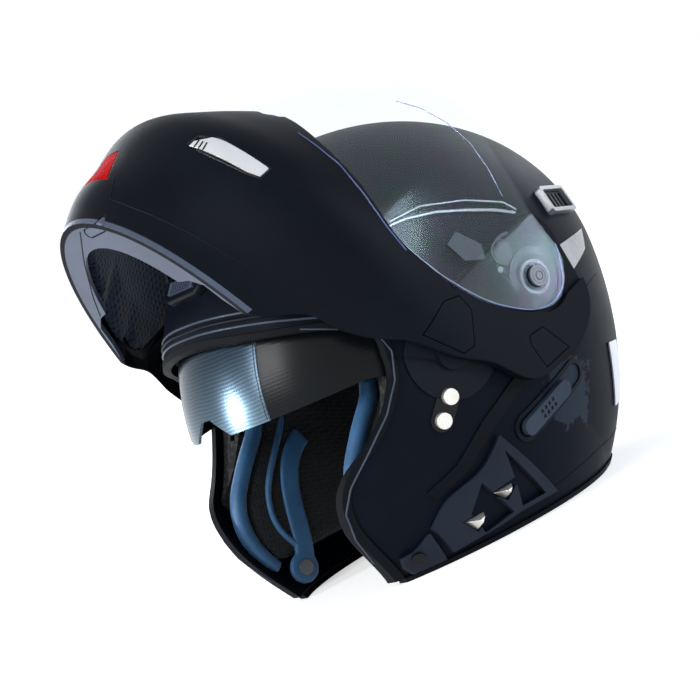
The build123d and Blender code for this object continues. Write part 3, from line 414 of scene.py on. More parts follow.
def mirror_lens(name):
    """The sun visor: mirrored between its two creases, dark smoke beyond, with fine rippled colour and a
    painted reflection that is lighter towards the lower edge.
    """
    made, tree, shader = new_material(name, specular_ior_level=0.15)
    place = coordinates(tree)
    axes = tree.nodes.new("ShaderNodeSeparateXYZ")
    link(tree, place, axes.inputs[0])
    side = combine(tree, "ABSOLUTE", axes.outputs["X"], 0)
    wing = remap(tree, side, MIRROR_END_X, UNIT)
    wave = tree.nodes.new("ShaderNodeTexWave")
    wave.bands_direction = "Z"
    for socket, value in RIPPLES.items():
        wave.inputs[socket].default_value = value
    link(tree, place, wave.inputs["Vector"])
    ripples = wave.outputs["Fac"]
    # Painted reflection: the lens colour goes from lighter at the lower edge to darker at the upper
    height = remap(tree, axes.outputs["Z"], REFLECTION_FADE_Z, UNIT)
    lower = blend_colours(tree, ripples, *LENS_LOWER_REFLECTION)
    upper = blend_colours(tree, ripples, *LENS_UPPER_REFLECTION)
    lens = blend_colours(tree, height, lower, upper)
    link(tree, blend_colours(tree, wing, lens, WING_COLOUR), shader.inputs["Base Color"])
    link(tree, remap(tree, wing, UNIT, MIRROR_METAL), shader.inputs["Metallic"])
    gloss = noise_field(tree, place, LENS_GLOSS_SCALE)
    link(tree, remap(tree, gloss, BROAD, LENS_ROUGHNESS), shader.inputs["Roughness"])
    bumped(tree, shader, ripples, RIPPLE_STRENGTH, RIPPLE_DEPTH)
    return made


# Finishes. Each moulding has a darker and a lighter colour, then its range of roughness.

SHELL = shell_paint("shell_black", (0.0018, 0.0032, 0.0066), (0.0034, 0.0056, 0.0105))
CHIN = moulded(
    "chin_black", (0.0011, 0.0019, 0.0040), (0.0021, 0.0036, 0.0070), (0.42, 0.52),
    bevel=PAINTED_EDGE, strength=PAINT_GRAIN, specular_ior_level=0.07,
)
PANEL = moulded(
    "panel_black", (0.0042, 0.0075, 0.0140), (0.0110, 0.0175, 0.0295), (0.40, 0.5), specular_ior_level=0.14,
)
SATIN = moulded(
    "satin_black", (0.0018, 0.0032, 0.0062), (0.0034, 0.0056, 0.0098), (0.40, 0.5), specular_ior_level=0.1,
)
GLOSS = moulded(
    "gloss_black", (0.0010, 0.0012, 0.0018), (0.0016, 0.0019, 0.0026), (0.18, 0.28), specular_ior_level=0.2,
)
RUBBER = moulded(
    "rubber", (0.0012, 0.0020, 0.0036), (0.0025, 0.0038, 0.0062), (0.5, 0.7),
    grain=1800, specular_ior_level=0.08,
)
BAND = moulded(
    "satin_blue_grey", (0.040, 0.053, 0.085), (0.072, 0.090, 0.140), (0.34, 0.46), specular_ior_level=0.4,
)
SLIDER = moulded(
    "slider_blue_grey", (0.016, 0.025, 0.042), (0.028, 0.040, 0.062), (0.38, 0.5), specular_ior_level=0.2,
)
BEAD = moulded("trim_bead", (0.022, 0.034, 0.056), (0.036, 0.052, 0.080), (0.3, 0.4), specular_ior_level=0.3)
# A strong blue that paints the blue-white highlight along the chin bar's upper edge
PAINTED_HIGHLIGHT_BLUE = moulded("blue_edge_highlight", (0.020, 0.045, 0.170), (0.035, 0.070, 0.240), (0.2, 0.3))
KNOB = moulded("clear_knob", (0.045, 0.055, 0.07), (0.08, 0.095, 0.115), (0.12, 0.2), specular_ior_level=0.6)
GREY = moulded(
    "mechanism_grey", (0.022, 0.030, 0.042), (0.045, 0.058, 0.078), (0.3, 0.4), specular_ior_level=0.3,
)
# Pale rims and edges on the ear mechanism, partly painted highlight of a relief that the thin plates lack
HIGHLIGHT_PALE = moulded("mechanism_edge_highlight", (0.14, 0.17, 0.21), (0.20, 0.235, 0.28), (0.25, 0.35))
SILVER = moulded("silver_plastic", (0.55, 0.55, 0.56), (0.68, 0.68, 0.69), (0.25, 0.38), metallic=0.35)
CREAM = moulded("cream_metal", (0.66, 0.63, 0.56), (0.80, 0.77, 0.70), (0.2, 0.32), metallic=0.7)
RED = moulded("red_gloss", (0.42, 0.0005, 0.002), (0.52, 0.001, 0.003), (0.6, 0.7), specular_ior_level=0.03)
REFLECTOR = moulded("reflector_film", (0.70, 0.70, 0.76), (0.80, 0.79, 0.86), (0.25, 0.4), coat_weight=0.5)
PLATE = moulded("plain_plate", (0.30, 0.30, 0.31), (0.40, 0.40, 0.41), (0.25, 0.35), metallic=0.6)
STEEL = brushed("steel", (0.35, 0.35, 0.36), (0.6, 0.6, 0.61), (0.25, 0.4))
FOAM = foam("bead_foam", (0.012, 0.012, 0.013), (0.035, 0.035, 0.037))
NAVY_KNIT = knit("navy_knit", (0.001, 0.0018, 0.004), (0.022, 0.038, 0.075), cell=0.0032, sheen=0.15)
BLACK_KNIT = knit("black_knit", (0.0006, 0.0008, 0.0012), (0.0055, 0.0070, 0.0100), cell=0.0024, sheen=0.1)
NAVY_CLOTH = leatherette("navy_cloth", (0.008, 0.012, 0.022), (0.014, 0.021, 0.036), (0.55, 0.7))
BLUE_LEATHER = leatherette("blue_leatherette", (0.018, 0.080, 0.180), (0.034, 0.125, 0.270))
BLACK_LEATHER = leatherette("black_leatherette", (0.008, 0.009, 0.011), (0.015, 0.016, 0.019))
VISOR = clear_sheet(
    "clear_visor", (0.992, 0.994, 0.997), gloss=0.30, rough=(0.08, 0.16), haze=0.022, hues=0.55,
)
# A blue-tinted, glossy clear sheet that paints the bright highlight along the visor's edges
HIGHLIGHT_SHEET = clear_sheet("visor_edge_highlight", (0.30, 0.42, 0.75), gloss=0.5, rough=(0.08, 0.16), haze=0.20)
HAZE = clear_sheet("visor_ridge", (0.90, 0.93, 0.97), gloss=0.3, rough=(0.15, 0.25), haze=0.20)
SMOKE = mirror_lens("smoke_visor")

# The CAD solids of each finish; those under a cushion take the cushion's
finishes = {
    SHELL: ["outer_shell"],
    CHIN: [
        "chin_bar_shell", "tongue_cover_left", "tongue_cover_right", "hinge_cover_left", "hinge_cover_right",
    ],
    PANEL: ["side_cover_left", "side_cover_right", "front_tab_left", "front_tab_right"],
    SATIN: ["base_disc_left", "base_disc_right", "brow_vent", "vent_grilles", "slider_bezel"],
    RUBBER: ["face_trim", "bottom_seal", "seam_seal_left", "seam_seal_right"],
    BAND: ["rim_band", "release_button", "brow_shutter"],
    SLIDER: ["sun_visor_slider"],
    SILVER: ["chin_vent_left", "chin_vent_right"],
    CREAM: ["vent_blades", "lock_pins"],
    RED: ["chin_badge"],
    REFLECTOR: ["reflectors"],
    PLATE: ["side_badges", "rear_vent_left", "rear_vent_right"],
    STEEL: ["latch_left", "latch_right", "latch_pins", "hinge_pins", "sun_visor_pins"],
    KNOB: ["visor_knobs", "strap_snap"],
    GLOSS: ["tab_screws"],
    FOAM: ["foam_liner"],
    VISOR: ["visor"],
    SMOKE: ["sun_visor"],
    BLACK_KNIT: ["crown_pad", "cheek_pad_left", "cheek_pad_right"],
    BLACK_LEATHER: ["neck_roll"],
    BLUE_LEATHER: ["cheek_roll_left", "cheek_roll_right", "chin_strap_left", "chin_strap_right"],
    NAVY_KNIT: ["chin_pad_left", "chin_pad_right"],
    NAVY_CLOTH: ["chin_panel"],
}


def finish_with(piece, made):
    piece.data.materials.clear()
    piece.data.materials.append(made)


def place_object(name, mesh, made, body):
    """A new piece that rides on a body, in a finish."""
    piece = bpy.data.objects.new(name, mesh)
    scene.collection.objects.link(piece)
    finish_with(piece, made)
    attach(piece, body)
    return piece


def smooth_shaded(mesh):
    for face in mesh.polygons:
        face.use_smooth = True


for made, names in finishes.items():
    for name in names:
        finish_with(nodes[name], made)


# Soft pieces

STUFFING_FRAMES = 20
STUFFING_QUALITY = 5
STUFFING_MASS = 0.3
STUFFING_PRESSURE = 4
SMOOTHING = 0.5


def settle(piece):
    """Keep what the modifiers make as the piece's own mesh."""
    graph = bpy.context.evaluated_depsgraph_get()
    mesh = bpy.data.meshes.new_from_object(piece.evaluated_get(graph))
    piece.modifiers.clear()
    piece.data = mesh


def stuff(piece, cap):
    """Blow the piece up as stuffing does, moving no point further than the cap."""
    rest = [v.co.copy() for v in piece.data.vertices]
    cloth = piece.modifiers.new("Stuffing", "CLOTH")
    cloth.settings.quality = STUFFING_QUALITY
    cloth.settings.mass = STUFFING_MASS
    cloth.settings.use_pressure = True
    cloth.settings.uniform_pressure_force = STUFFING_PRESSURE
    cloth.settings.effector_weights.gravity = 0
    cloth.point_cache.frame_start = 1
    cloth.point_cache.frame_end = STUFFING_FRAMES
    for step in range(1, STUFFING_FRAMES + 1):
        scene.frame_set(step)
    settle(piece)
    for vertex, start in zip(piece.data.vertices, rest):
        moved = vertex.co - start
        if moved.length > cap:
            vertex.co = start + moved * (cap / moved.length)
    scene.frame_set(1)


def cushion(name, node, made, voxel, rounds, swell, cap, fill):
    """A soft piece from a plain CAD solid: edges rounded, stuffed where it has a cap, then swollen."""
    piece = place_object(name, nodes[node].data.copy(), made, bodies[node])
    remesh = piece.modifiers.new("Remesh", "REMESH")
    remesh.mode = "VOXEL"
    remesh.voxel_size = voxel
    smooth = piece.modifiers.new("Smooth", "SMOOTH")
    smooth.factor = SMOOTHING
    smooth.iterations = rounds
    settle(piece)
    if cap:
        stuff(piece, cap)
    swelling = piece.modifiers.new("Swell", "DISPLACE")
    swelling.mid_level = 0
    swelling.strength = swell
    subdivide = piece.modifiers.new("Subdivide", "SUBSURF")
    subdivide.levels = 1
    subdivide.render_levels = 1
    settle(piece)
    finish_with(piece, made)
    smooth_shaded(piece.data)
    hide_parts(node)


# Name, node, finish, voxel size, smoothing rounds, swell, most that the stuffing moves, fill
cushions = [
    ("head_lining", "crown_pad", BLACK_KNIT, 0.004, 6, 0.0004, 0.0, 0.5),
    ("cheek_cushion_left", "cheek_pad_left", BLACK_KNIT, 0.0035, 10, 0.0008, 0.0012, 0.7),
    ("cheek_cushion_right", "cheek_pad_right", BLACK_KNIT, 0.0035, 10, 0.0008, 0.0012, 0.7),
    ("cheek_roll_soft_left", "cheek_roll_left", BLUE_LEATHER, 0.0018, 4, 0.0004, 0.0, 0.8),
    ("cheek_roll_soft_right", "cheek_roll_right", BLUE_LEATHER, 0.0018, 4, 0.0004, 0.0, 0.8),
    ("neck_cushion", "neck_roll", BLACK_LEATHER, 0.0035, 10, 0.0008, 0.002, 0.6),
    ("chin_cushion_left", "chin_pad_left", NAVY_KNIT, 0.0022, 8, 0.0008, 0.0007, 0.7),
    ("chin_cushion_right", "chin_pad_right", NAVY_KNIT, 0.0022, 8, 0.0008, 0.0007, 0.7),
    ("chin_panel_soft", "chin_panel", NAVY_CLOTH, 0.0025, 8, 0.0006, 0.0005, 0.5),
    ("strap_padding_left", "chin_strap_left", BLUE_LEATHER, 0.0010, 4, 0.0006, 0.0, 0.5),
    ("strap_padding_right", "chin_strap_right", BLUE_LEATHER, 0.0010, 4, 0.0006, 0.0, 0.5),
]
for row in cushions:
    cushion(*row)


# Beads and grooves laid along lines

CURVE_STEPS = 6
ROUND_STEPS = 3
CURVE_ORDER = 3


def tube(name, points, radius, made, body):
    """A round bead along a smooth line."""
    curve = bpy.data.curves.new(name, "CURVE")
    curve.dimensions = "3D"
    curve.resolution_u = CURVE_STEPS
    curve.bevel_depth = radius
    curve.bevel_resolution = ROUND_STEPS
    curve.use_fill_caps = True
    line = curve.splines.new("NURBS")
    line.points.add(len(points) - 1)
    for control, point in zip(line.points, points):
        control.co = (*point, 1)
    line.order_u = CURVE_ORDER
    line.use_endpoint_u = True
    rough = bpy.data.objects.new(name + "_line", curve)
    scene.collection.objects.link(rough)
    graph = bpy.context.evaluated_depsgraph_get()
    mesh = bpy.data.meshes.new_from_object(rough.evaluated_get(graph))
    bpy.data.objects.remove(rough)
    smooth_shaded(mesh)
    place_object(name, mesh, made, body)


surfaces = {}


def surface_of(node):
    """A node's surface, to find points on."""
    if node not in surfaces:
        mesh = nodes[node].data
        corners = [vertex.co for vertex in mesh.vertices]
        surfaces[node] = BVHTree.FromPolygons(corners, [face.vertices[:] for face in mesh.polygons])
    return surfaces[node]


def seen_at(node, x, y):
    """The place on a node that the camera sees at a pixel, or None."""
    middle = PICTURE_PIXELS / 2
    direction = (across * (x - middle) - upward * (y - middle) - back * FOCAL_PIXELS).normalized()
    return surface_of(node).ray_cast(camera.location, direction)[0]


def mirrored(points):
    return [Vector((-point.x, point.y, point.z)) for point in points]


# Points between two pixels of a drawn line
LINE_STEPS = 6


def drawn_line(name, node, pixels, radius, made, both=True):
    """A bead or groove along pixels of the picture, and the same on the other side."""
    points = []
    for (x0, y0), (x1, y1) in zip(pixels, pixels[1:]):
        for step in range(LINE_STEPS):
            share = step / LINE_STEPS
            place = seen_at(node, x0 + (x1 - x0) * share, y0 + (y1 - y0) * share)
            if place is not None and (place.x > 0 or not both):
                points.append(place)
    tube(name + "_left", points, radius, made, bodies[node])
    if both:
        tube(name + "_right", mirrored(points), radius, made, bodies[node])


# Radii of the lines
HAIRLINE = 0.00022
CREASE = 0.00035
GROOVE = 0.0004
LINE = 0.0005
BEADING = 0.0006
RECESS = 0.0007
RIDGE = 0.0009

CHIN_CREASE = [(114, 178), (110, 199), (149, 214), (188, 232), (219, 250), (262, 274)]
LOWER_TRIM = [(550, 491), (585, 462), (612, 436), (620, 420)]
REAR_CREASE = [(584, 290), (590, 282), (597, 273)]
RIM_GROOVE_SHADE = [(80, 232), (84, 262), (93, 297), (104, 326)]
VENT_SHADE_LOOP = [(187, 145), (199, 136.5), (221, 138.5), (270.5, 168.5), (260.5, 178.5), (246, 173.5), (187, 145)]
VENT_TEETH_SHADE = [[(194, 147), (200, 139)], [(198, 149), (204, 140)], [(202, 151), (208, 141)]]
TRIM_HIGHLIGHT_LINE = [
    (300, 329), (340, 329), (377, 333), (392, 351), (395, 380), (387, 415),
    (368, 455), (351, 488), (346, 515), (356, 540), (378, 568),
]
CHIN_HIGHLIGHT_LINE = [(298, 133), (314, 144), (339, 164), (364, 194), (387, 227), (410, 255)]

drawn_line("chin_crease", "chin_bar_shell", CHIN_CREASE, CREASE, SATIN)
drawn_line("lower_trim_line", "outer_shell", LOWER_TRIM, GROOVE, RUBBER)
drawn_line("rear_crease", "outer_shell", REAR_CREASE, LINE, RUBBER)
# Painted shade: a dark glossy line on the rim band where a groove's shade falls
drawn_line("rim_groove_shade", "rim_band", RIM_GROOVE_SHADE, GROOVE, GLOSS, both=False)
# Painted shade: dark glossy lines round the chin vent's recess and across its slots
drawn_line("vent_recess_shade", "chin_bar_shell", VENT_SHADE_LOOP, RECESS, GLOSS)
for number, tooth in enumerate(VENT_TEETH_SHADE):
    drawn_line(f"vent_tooth_{number}", "chin_vent_left", tooth, LINE, GLOSS)
# Partly painted highlight: a glossy bead along the face trim's edge, bluish grey and lighter than the rubber,
# for the highlight line there
drawn_line("trim_highlight", "face_trim", TRIM_HIGHLIGHT_LINE, BEADING, BEAD)
# Painted highlight: a blue bead along the chin bar's upper edge
drawn_line("chin_top_highlight", "chin_bar_shell", CHIN_HIGHLIGHT_LINE, LINE, PAINTED_HIGHLIGHT_BLUE)


# Beads on the brow above the face opening

# Half sizes and middle of the ellipsoid that the shell's crown follows
CROWN_HALF = (0.1245, 0.1435, 0.1235)
CROWN_Y = 0.0233
CROWN_Z = 0.133
# The opening's upper edge, from where the beads start at the side to the front
BROW_STEPS = 60
BROW_START_Y = -0.062
BROW_RUN = 0.060
BROW_Z = 0.1501
BROW_SLOPE = 0.487
BROW_OUT = 0.0002
BROW_FAT = 0.0013
# Height above the edge, radius and finish of each bead
BROW_BEADS = [(0.004, RIDGE, BEAD), (0.0085, BROW_FAT, SATIN), (0.0125, RIDGE, BEAD)]


def brow_line(rise):
    """Points round the brow, a distance above the face opening's upper edge, standing out of the crown."""
    width, length, height = CROWN_HALF
    half = []
    for step in range(BROW_STEPS):
        y = BROW_START_Y - BROW_RUN * step / (BROW_STEPS - 1)
        z = BROW_Z + (BROW_START_Y - y) * BROW_SLOPE + rise
        square = 1 - ((y - CROWN_Y) / length) ** 2 - ((z - CROWN_Z) / height) ** 2
        if square <= 0:
            break
        point = Vector((width * sqrt(square), y, z))
        slope = Vector((point.x / width**2, (point.y - CROWN_Y) / length**2, (point.z - CROWN_Z) / height**2))
        half.append(point + slope.normalized() * BROW_OUT)
    return half + mirrored(reversed(half))


for number, (rise, radius, made) in enumerate(BROW_BEADS):
    tube(f"brow_bead_{number}", brow_line(rise), radius, made, "shell")


# Clear visor: blue, glossy lines that paint the highlight along its edges, the ridge across it and the lift
# tab

# The visor's lower edge on the closed helmet, in shares of the helmet's half length and of its height
VISOR_LOWER = [
    (-1.064, 0.518), (-0.96, 0.487), (-0.856, 0.449), (-0.75, 0.43), (-0.649, 0.414), (-0.500, 0.388),
    (-0.362, 0.375), (-0.247, 0.384), (-0.158, 0.395), (0.040, 0.448), (0.157, 0.507), (0.217, 0.551),
    (0.245, 0.611), (0.187, 0.666), (0.070, 0.692),
]
HALF_LENGTH = 0.1435
FULL_HEIGHT = 0.2565
# Seen from above, the visor is straight behind the shoulder and follows an ellipse in front of it
SHOULDER = -0.012
EAR_X = 0.1307
VISOR_REACH = 0.141
VISOR_Z = 0.125
VISOR_HALF_HEIGHT = 0.129

VISOR_RIDGE = [(387, 227), (405, 219), (435, 212), (465, 210), (495, 210), (519, 213)]
VISOR_TOP = [(396, 101), (420, 108), (446, 122), (470, 143), (489, 170), (505, 202)]
UPPER_RIDGE = [(389, 222), (420, 206), (465, 200), (503, 202), (519, 211)]


def visor_point(y, z):
    """A point on the visor's outer surface, from its side position on the closed helmet."""
    x = EAR_X
    if y < SHOULDER:
        reach = VISOR_REACH * sqrt(1 - ((z - VISOR_Z) / VISOR_HALF_HEIGHT) ** 2)
        x = EAR_X * sqrt(max(1 - ((SHOULDER - y) / reach) ** 2, 0))
    return surface_of("visor").find_nearest(opened(x, y, z))[0]


edge_points = [visor_point(y * HALF_LENGTH, z * FULL_HEIGHT) for y, z in VISOR_LOWER]
# Painted highlight along the visor's lower edge
tube("visor_edge_left", edge_points, BEADING, HIGHLIGHT_SHEET, "visor")
tube("visor_edge_right", mirrored(edge_points), BEADING, HIGHLIGHT_SHEET, "visor")
drawn_line("visor_ridge", "visor", VISOR_RIDGE, RIDGE, HAZE)
# Painted highlight along the visor's upper edge
drawn_line("visor_top_line", "visor", VISOR_TOP, HAIRLINE, HIGHLIGHT_SHEET)
drawn_line("visor_upper_ridge", "visor", UPPER_RIDGE, LINE, HAZE)


def mesh_from(name, work):
    """A mesh from what a bmesh holds."""
    made = bpy.data.meshes.new(name)
    work.to_mesh(made)
    work.free()
    return made


def thicken(piece, thickness):
    solid = piece.modifiers.new("Thickness", "SOLIDIFY")
    solid.thickness = thickness
    solid.offset = 0


# Side positions along the lift tab's foot, and the share of its full height there
TAB_FOOT = [(-0.1455, 0.129), (-0.1400, 0.1262), (-0.1345, 0.1232), (-0.1290, 0.1203)]
TAB_SHARES = (0.0, 1.0, 1.0, 0.0)
TAB_GAP = 0.0002
TAB_LOW = 0.0006
TAB_RISE = 0.0035
TAB_THICKNESS = 0.0012
TAB_ROUNDING = 2


def lift_tab():
    """A small clear tab standing out of the visor's lower edge, left of the middle."""
    work = bmesh.new()
    lower = []
    upper = []
    for share, (y, z) in zip(TAB_SHARES, TAB_FOOT):
        place, normal, face, away = surface_of("visor").find_nearest(visor_point(y, z))
        if normal.x < 0:
            normal = -normal
        lower.append(work.verts.new(place + normal * TAB_GAP))
        upper.append(work.verts.new(place + normal * (TAB_LOW + TAB_RISE * share)))
    for i in range(len(lower) - 1):
        work.faces.new((lower[i], lower[i + 1], upper[i + 1], upper[i]))
    # The tab takes the blue, glossy sheet that paints the visor edge's highlight
    piece = place_object("visor_lift_tab", mesh_from("visor_lift_tab", work), HIGHLIGHT_SHEET, "visor")
    thicken(piece, TAB_THICKNESS)
    smooth = piece.modifiers.new("Round", "SUBSURF")
    smooth.levels = TAB_ROUNDING
    smooth.render_levels = TAB_ROUNDING


lift_tab()


# Mechanism under the visor's ears, seen through the clear sheet: side positions on the closed helmet

FLOOR_X = 0.12825
EAR_PLATE_THICKNESS = 0.00018
PIVOT = (0.01615, 0.1539)
CAM = (-0.0085, 0.1455)
CAM_RADIUS = 0.0062
SPRING = (-0.003, 0.150)
SCREW = (-0.0015, 0.1372)
SCREW_RADIUS = 0.0018
GUIDE_PLATE = [(-0.034, 0.118), (-0.020, 0.121), (-0.012, 0.133), (-0.020, 0.137), (-0.036, 0.128)]
# Inner and outer radius of each curved bar or ring, and from which to which angle a bar goes, in degrees
RATCHET_RING = (0.0085, 0.0105)
RATCHET_ARC = (0.0135, 0.0165)
RATCHET_TURN = (110, 262)
RATCHET_EDGE = (0.0170, 0.0174)
RATCHET_EDGE_TURN = (108, 264)
CAM_EDGE = (0.0068, 0.0072)
SPRING_BAR = (0.0115, 0.0135)
SPRING_TURN = (150, 215)
KNOB_RING = (0.0040, 0.0047)
KNOB_RIM = (0.0022, 0.0026)
RING_TURN = (2, 358)
ARC_STEPS = 16
RING_STEPS = 40
DISC_STEPS = 24


def arc(centre, radii, turn, steps=ARC_STEPS):
    """Outline of a curved bar about a centre, between two angles in degrees."""
    inner, outer = radii
    start, end = turn
    angles = [radians(start + (end - start) * i / steps) for i in range(steps + 1)]
    near = [(centre[0] + inner * cos(t), centre[1] + inner * sin(t)) for t in angles]
    far = [(centre[0] + outer * cos(t), centre[1] + outer * sin(t)) for t in reversed(angles)]
    return near + far


def ring(centre, radii):
    return arc(centre, radii, RING_TURN, RING_STEPS)


def disc(centre, radius):
    angles = [2 * pi * i / DISC_STEPS for i in range(DISC_STEPS)]
    return [(centre[0] + radius * cos(t), centre[1] + radius * sin(t)) for t in angles]


def ear_plate(name, outline, made, x=FLOOR_X):
    """A thin shape at a distance from the middle plane on both sides, from a side outline."""
    for side, label in SIDES:
        work = bmesh.new()
        inner = [work.verts.new(opened(side * x, y, z)) for y, z in outline]
        outer = [work.verts.new(opened(side * (x + EAR_PLATE_THICKNESS), y, z)) for y, z in outline]
        work.faces.new(inner)
        work.faces.new(outer)
        for i in range(len(outline)):
            j = (i + 1) % len(outline)
            work.faces.new((inner[i], inner[j], outer[j], outer[i]))
        bmesh.ops.recalc_face_normals(work, faces=work.faces)
        place_object(f"{name}_{label}", mesh_from(f"{name}_{label}", work), made, "chin_bar")


# The pale rings, edges and screw head are lighter than the grey to paint the highlights of a relief that the
# thin plates lack
ear_plate("ratchet_ring", ring(PIVOT, RATCHET_RING), HIGHLIGHT_PALE)
ear_plate("ratchet_arc", arc(PIVOT, RATCHET_ARC, RATCHET_TURN), GREY)
ear_plate("ratchet_edge", arc(PIVOT, RATCHET_EDGE, RATCHET_EDGE_TURN), HIGHLIGHT_PALE)
ear_plate("cam_pocket", disc(CAM, CAM_RADIUS), GREY)
ear_plate("cam_edge", ring(CAM, CAM_EDGE), HIGHLIGHT_PALE)
ear_plate("spring_bar", arc(SPRING, SPRING_BAR, SPRING_TURN), GREY)
ear_plate("guide_screw", disc(SCREW, SCREW_RADIUS), HIGHLIGHT_PALE)
ear_plate("guide_plate", GUIDE_PLATE, GREY)

knob_x = max(vertex.co.x for vertex in nodes["visor_knobs"].data.vertices)
ear_plate("knob_ring", ring(PIVOT, KNOB_RING), HIGHLIGHT_PALE, x=knob_x)
ear_plate("knob_rim", ring(PIVOT, KNOB_RIM), GREY, x=knob_x)


# Sun visor creases, on the ellipsoid that the lens follows

LENS_HALF_X = 0.110
LENS_HALF = 0.147
LENS_Y = 0.0247
LENS_Z = 0.105
LENS_LOW_Z = 0.1185
LENS_RISE = 0.050
LENS_STEPS = 20
# Name, distance from the middle plane, radius and finish
LENS_CREASES = [("lens_crease", 0.047, 0.00045, BEAD), ("lens_crease_inner", 0.0455, 0.0003, GREY)]


def lens_line(x):
    points = []
    for step in range(LENS_STEPS):
        z = LENS_LOW_Z + LENS_RISE * step / (LENS_STEPS - 1)
        square = 1 - (x / LENS_HALF_X) ** 2 - ((z - LENS_Z) / LENS_HALF) ** 2
        points.append(Vector((x, LENS_Y - LENS_HALF * sqrt(square), z)))
    return points


for side, label in SIDES:
    for name, x, radius, made in LENS_CREASES:
        tube(f"{name}_{label}", lens_line(side * x), radius, made, "sun_visor")


# Piping on the cheek pads' inner faces

CHEEK_PIPING = [
    (-0.0330, 0.1120), (-0.0375, 0.1030), (-0.0495, 0.0900), (-0.0595, 0.0790), (-0.0680, 0.0670),
    (-0.0715, 0.0520), (-0.0680, 0.0380), (-0.0620, 0.0300),
]
PIPING_X = 0.0602
PIPING_RADIUS = 0.0020

for side, label in SIDES:
    line = [Vector((side * PIPING_X, y, z)) for y, z in CHEEK_PIPING]
    tube(f"cheek_piping_{label}", line, PIPING_RADIUS, BLUE_LEATHER, "shell")


# Painted shade: a dark, glossy plate round the lock pins, where a recess's shade falls

# The upper and the lower pin, and the rounded outline round them both
PINS = [(-0.0347, 0.0903), (-0.0430, 0.0797)]
RECESS_RADIUS = 0.0066
RECESS_STEPS = 10
RECESS_LIFT = 0.0004
RECESS_THICKNESS = 0.0012
# Where the rays that find the shell's side start, and the shares of the outline that the rows lie at
OUTSIDE_X = 0.2
ROW_SHARES = (1.0, 0.75, 0.5, 0.25)


def recess_outline():
    upper, lower = PINS
    slant = atan2(upper[1] - lower[1], upper[0] - lower[0])
    outline = []
    for centre, start in ((upper, slant - pi / 2), (lower, slant + pi / 2)):
        for i in range(RECESS_STEPS + 1):
            angle = start + pi * i / RECESS_STEPS
            outline.append((centre[0] + RECESS_RADIUS * cos(angle), centre[1] + RECESS_RADIUS * sin(angle)))
    return outline


def side_patch(name, node, outline, made):
    """A thin plate that lies on a node's side, from a side outline, on both sides."""
    tree = surface_of(node)
    middle_y = sum(y for y, z in outline) / len(outline)
    middle_z = sum(z for y, z in outline) / len(outline)
    for side, label in SIDES:
        work = bmesh.new()
        rows = []
        for share in ROW_SHARES:
            row = []
            for y, z in outline:
                row_y = middle_y + (y - middle_y) * share
                row_z = middle_z + (z - middle_z) * share
                start = Vector((side * OUTSIDE_X, row_y, row_z))
                place = tree.ray_cast(start, Vector((-side, 0, 0)))[0]
                row.append(work.verts.new(place + Vector((side * RECESS_LIFT, 0, 0))))
            rows.append(row)
        for outer, inner in zip(rows, rows[1:]):
            for i in range(len(outline)):
                j = (i + 1) % len(outline)
                work.faces.new((outer[i], outer[j], inner[j], inner[i]))
        work.faces.new(rows[-1])
        bmesh.ops.recalc_face_normals(work, faces=work.faces)
        piece = place_object(f"{name}_{label}", mesh_from(f"{name}_{label}", work), made, bodies[node])
        thicken(piece, RECESS_THICKNESS)


# A dark plate standing in for the recess's shade
side_patch("pin_recess_shade", "outer_shell", recess_outline(), GLOSS)


# Stage and lights

FLOOR_HALF = 12.0
FLOOR_COLOUR = (0.86, 0.86, 0.86)
# Distances from the middle over which the floor's own glow grows, and its strength at both
GLOW_REACH = (0.35, 1.6)
GLOW = (0.55, 1.0)
SKY_COLOUR = (0.93, 0.96, 1.0)
# Strength of the world as a light, and as it is seen
SKY_STRENGTH = (0.3, 1.08)


def seen_share(tree):
    """One for what the camera sees directly, mirrored or through a sheet, zero for other rays."""
    rays = tree.nodes.new("ShaderNodeLightPath")
    seen = combine(tree, "MAXIMUM", rays.outputs["Is Camera Ray"], rays.outputs["Is Glossy Ray"])
    return combine(tree, "MAXIMUM", seen, rays.outputs["Is Transmission Ray"])


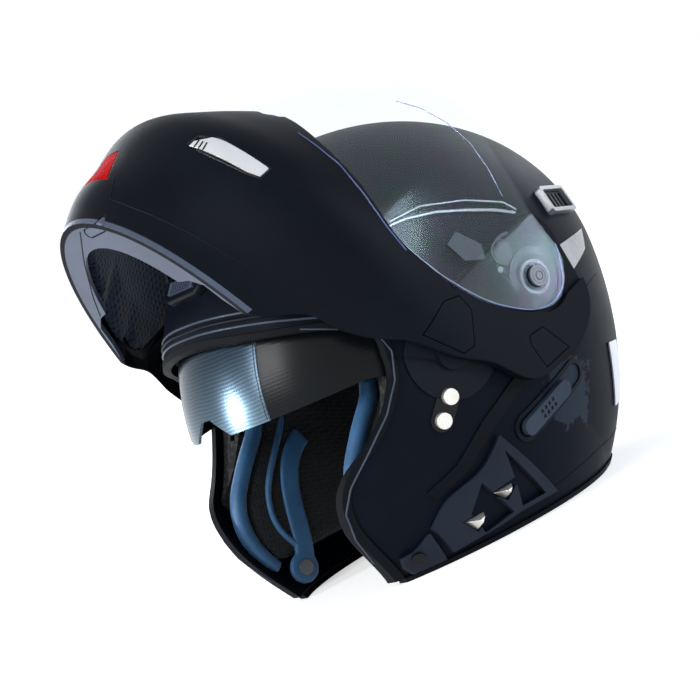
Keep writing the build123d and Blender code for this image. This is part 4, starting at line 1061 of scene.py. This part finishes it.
def pale_floor():
    size = FLOOR_HALF
    mesh = bpy.data.meshes.new("floor")
    corners = [(-size, -size, 0), (size, -size, 0), (size, size, 0), (-size, size, 0)]
    mesh.from_pydata(corners, [], [(0, 1, 2, 3)])
    floor = bpy.data.objects.new("floor", mesh)
    scene.collection.objects.link(floor)
    made, tree, shader = new_material(
        "pale_floor", roughness=1.0, base_color=(*FLOOR_COLOUR, 1), specular_ior_level=0.0,
    )
    far = tree.nodes.new("ShaderNodeVectorMath")
    far.operation = "LENGTH"
    link(tree, coordinates(tree), far.inputs[0])
    glow = remap(tree, far.outputs["Value"], GLOW_REACH, GLOW)
    shader.inputs["Emission Color"].default_value = (1, 1, 1, 1)
    link(tree, combine(tree, "MULTIPLY", seen_share(tree), glow), shader.inputs["Emission Strength"])
    finish_with(floor, made)


def white_world():
    world = bpy.data.worlds.new("studio")
    scene.world = world
    world.use_nodes = True
    tree = world.node_tree
    background = tree.nodes["Background"]
    background.inputs["Color"].default_value = (*SKY_COLOUR, 1)
    link(tree, remap(tree, seen_share(tree), UNIT, SKY_STRENGTH), background.inputs["Strength"])


def softbox(name, place, aim, size, power, colour):
    light = bpy.data.lights.new(name, "AREA")
    light.shape = "RECTANGLE"
    light.size, light.size_y = size
    light.energy = power
    light.color = colour
    lamp = bpy.data.objects.new(name, light)
    scene.collection.objects.link(lamp)
    lamp.location = place
    lamp.rotation_mode = "QUATERNION"
    lamp.rotation_quaternion = (Vector(aim) - Vector(place)).to_track_quat("-Z", "Y")


MIDDLE = (0, 0, 0.13)
LENS_FRONT = (0.03, -0.115, 0.13)
LOW_LEFT = (0.05, 0.03, 0.05)
# Name, place, aim, width and height, power in watts, colour
SOFTBOXES = [
    ("key", (0.35, -1.25, 0.75), MIDDLE, (0.5, 0.5), 9, (0.97, 0.99, 1.0)),
    ("lens", (-0.43, -1.31, 0.37), LENS_FRONT, (0.2, 0.2), 11, (0.95, 0.98, 1.0)),
    ("side", (1.25, 0.35, 0.55), MIDDLE, (0.5, 0.9), 9, (0.78, 0.88, 1.0)),
    ("back", (-0.1, 1.3, 0.7), MIDDLE, (1.0, 0.7), 6, (0.85, 0.92, 1.0)),
    ("low", (0.9, 0.9, 0), LOW_LEFT, (0.4, 0.25), 3, (0.75, 0.86, 1.0)),
    ("left", (-1.2, 0.2, 0.7), MIDDLE, (0.5, 0.7), 5, (0.85, 0.92, 1.0)),
]

pale_floor()
white_world()
for row in SOFTBOXES:
    softbox(*row)
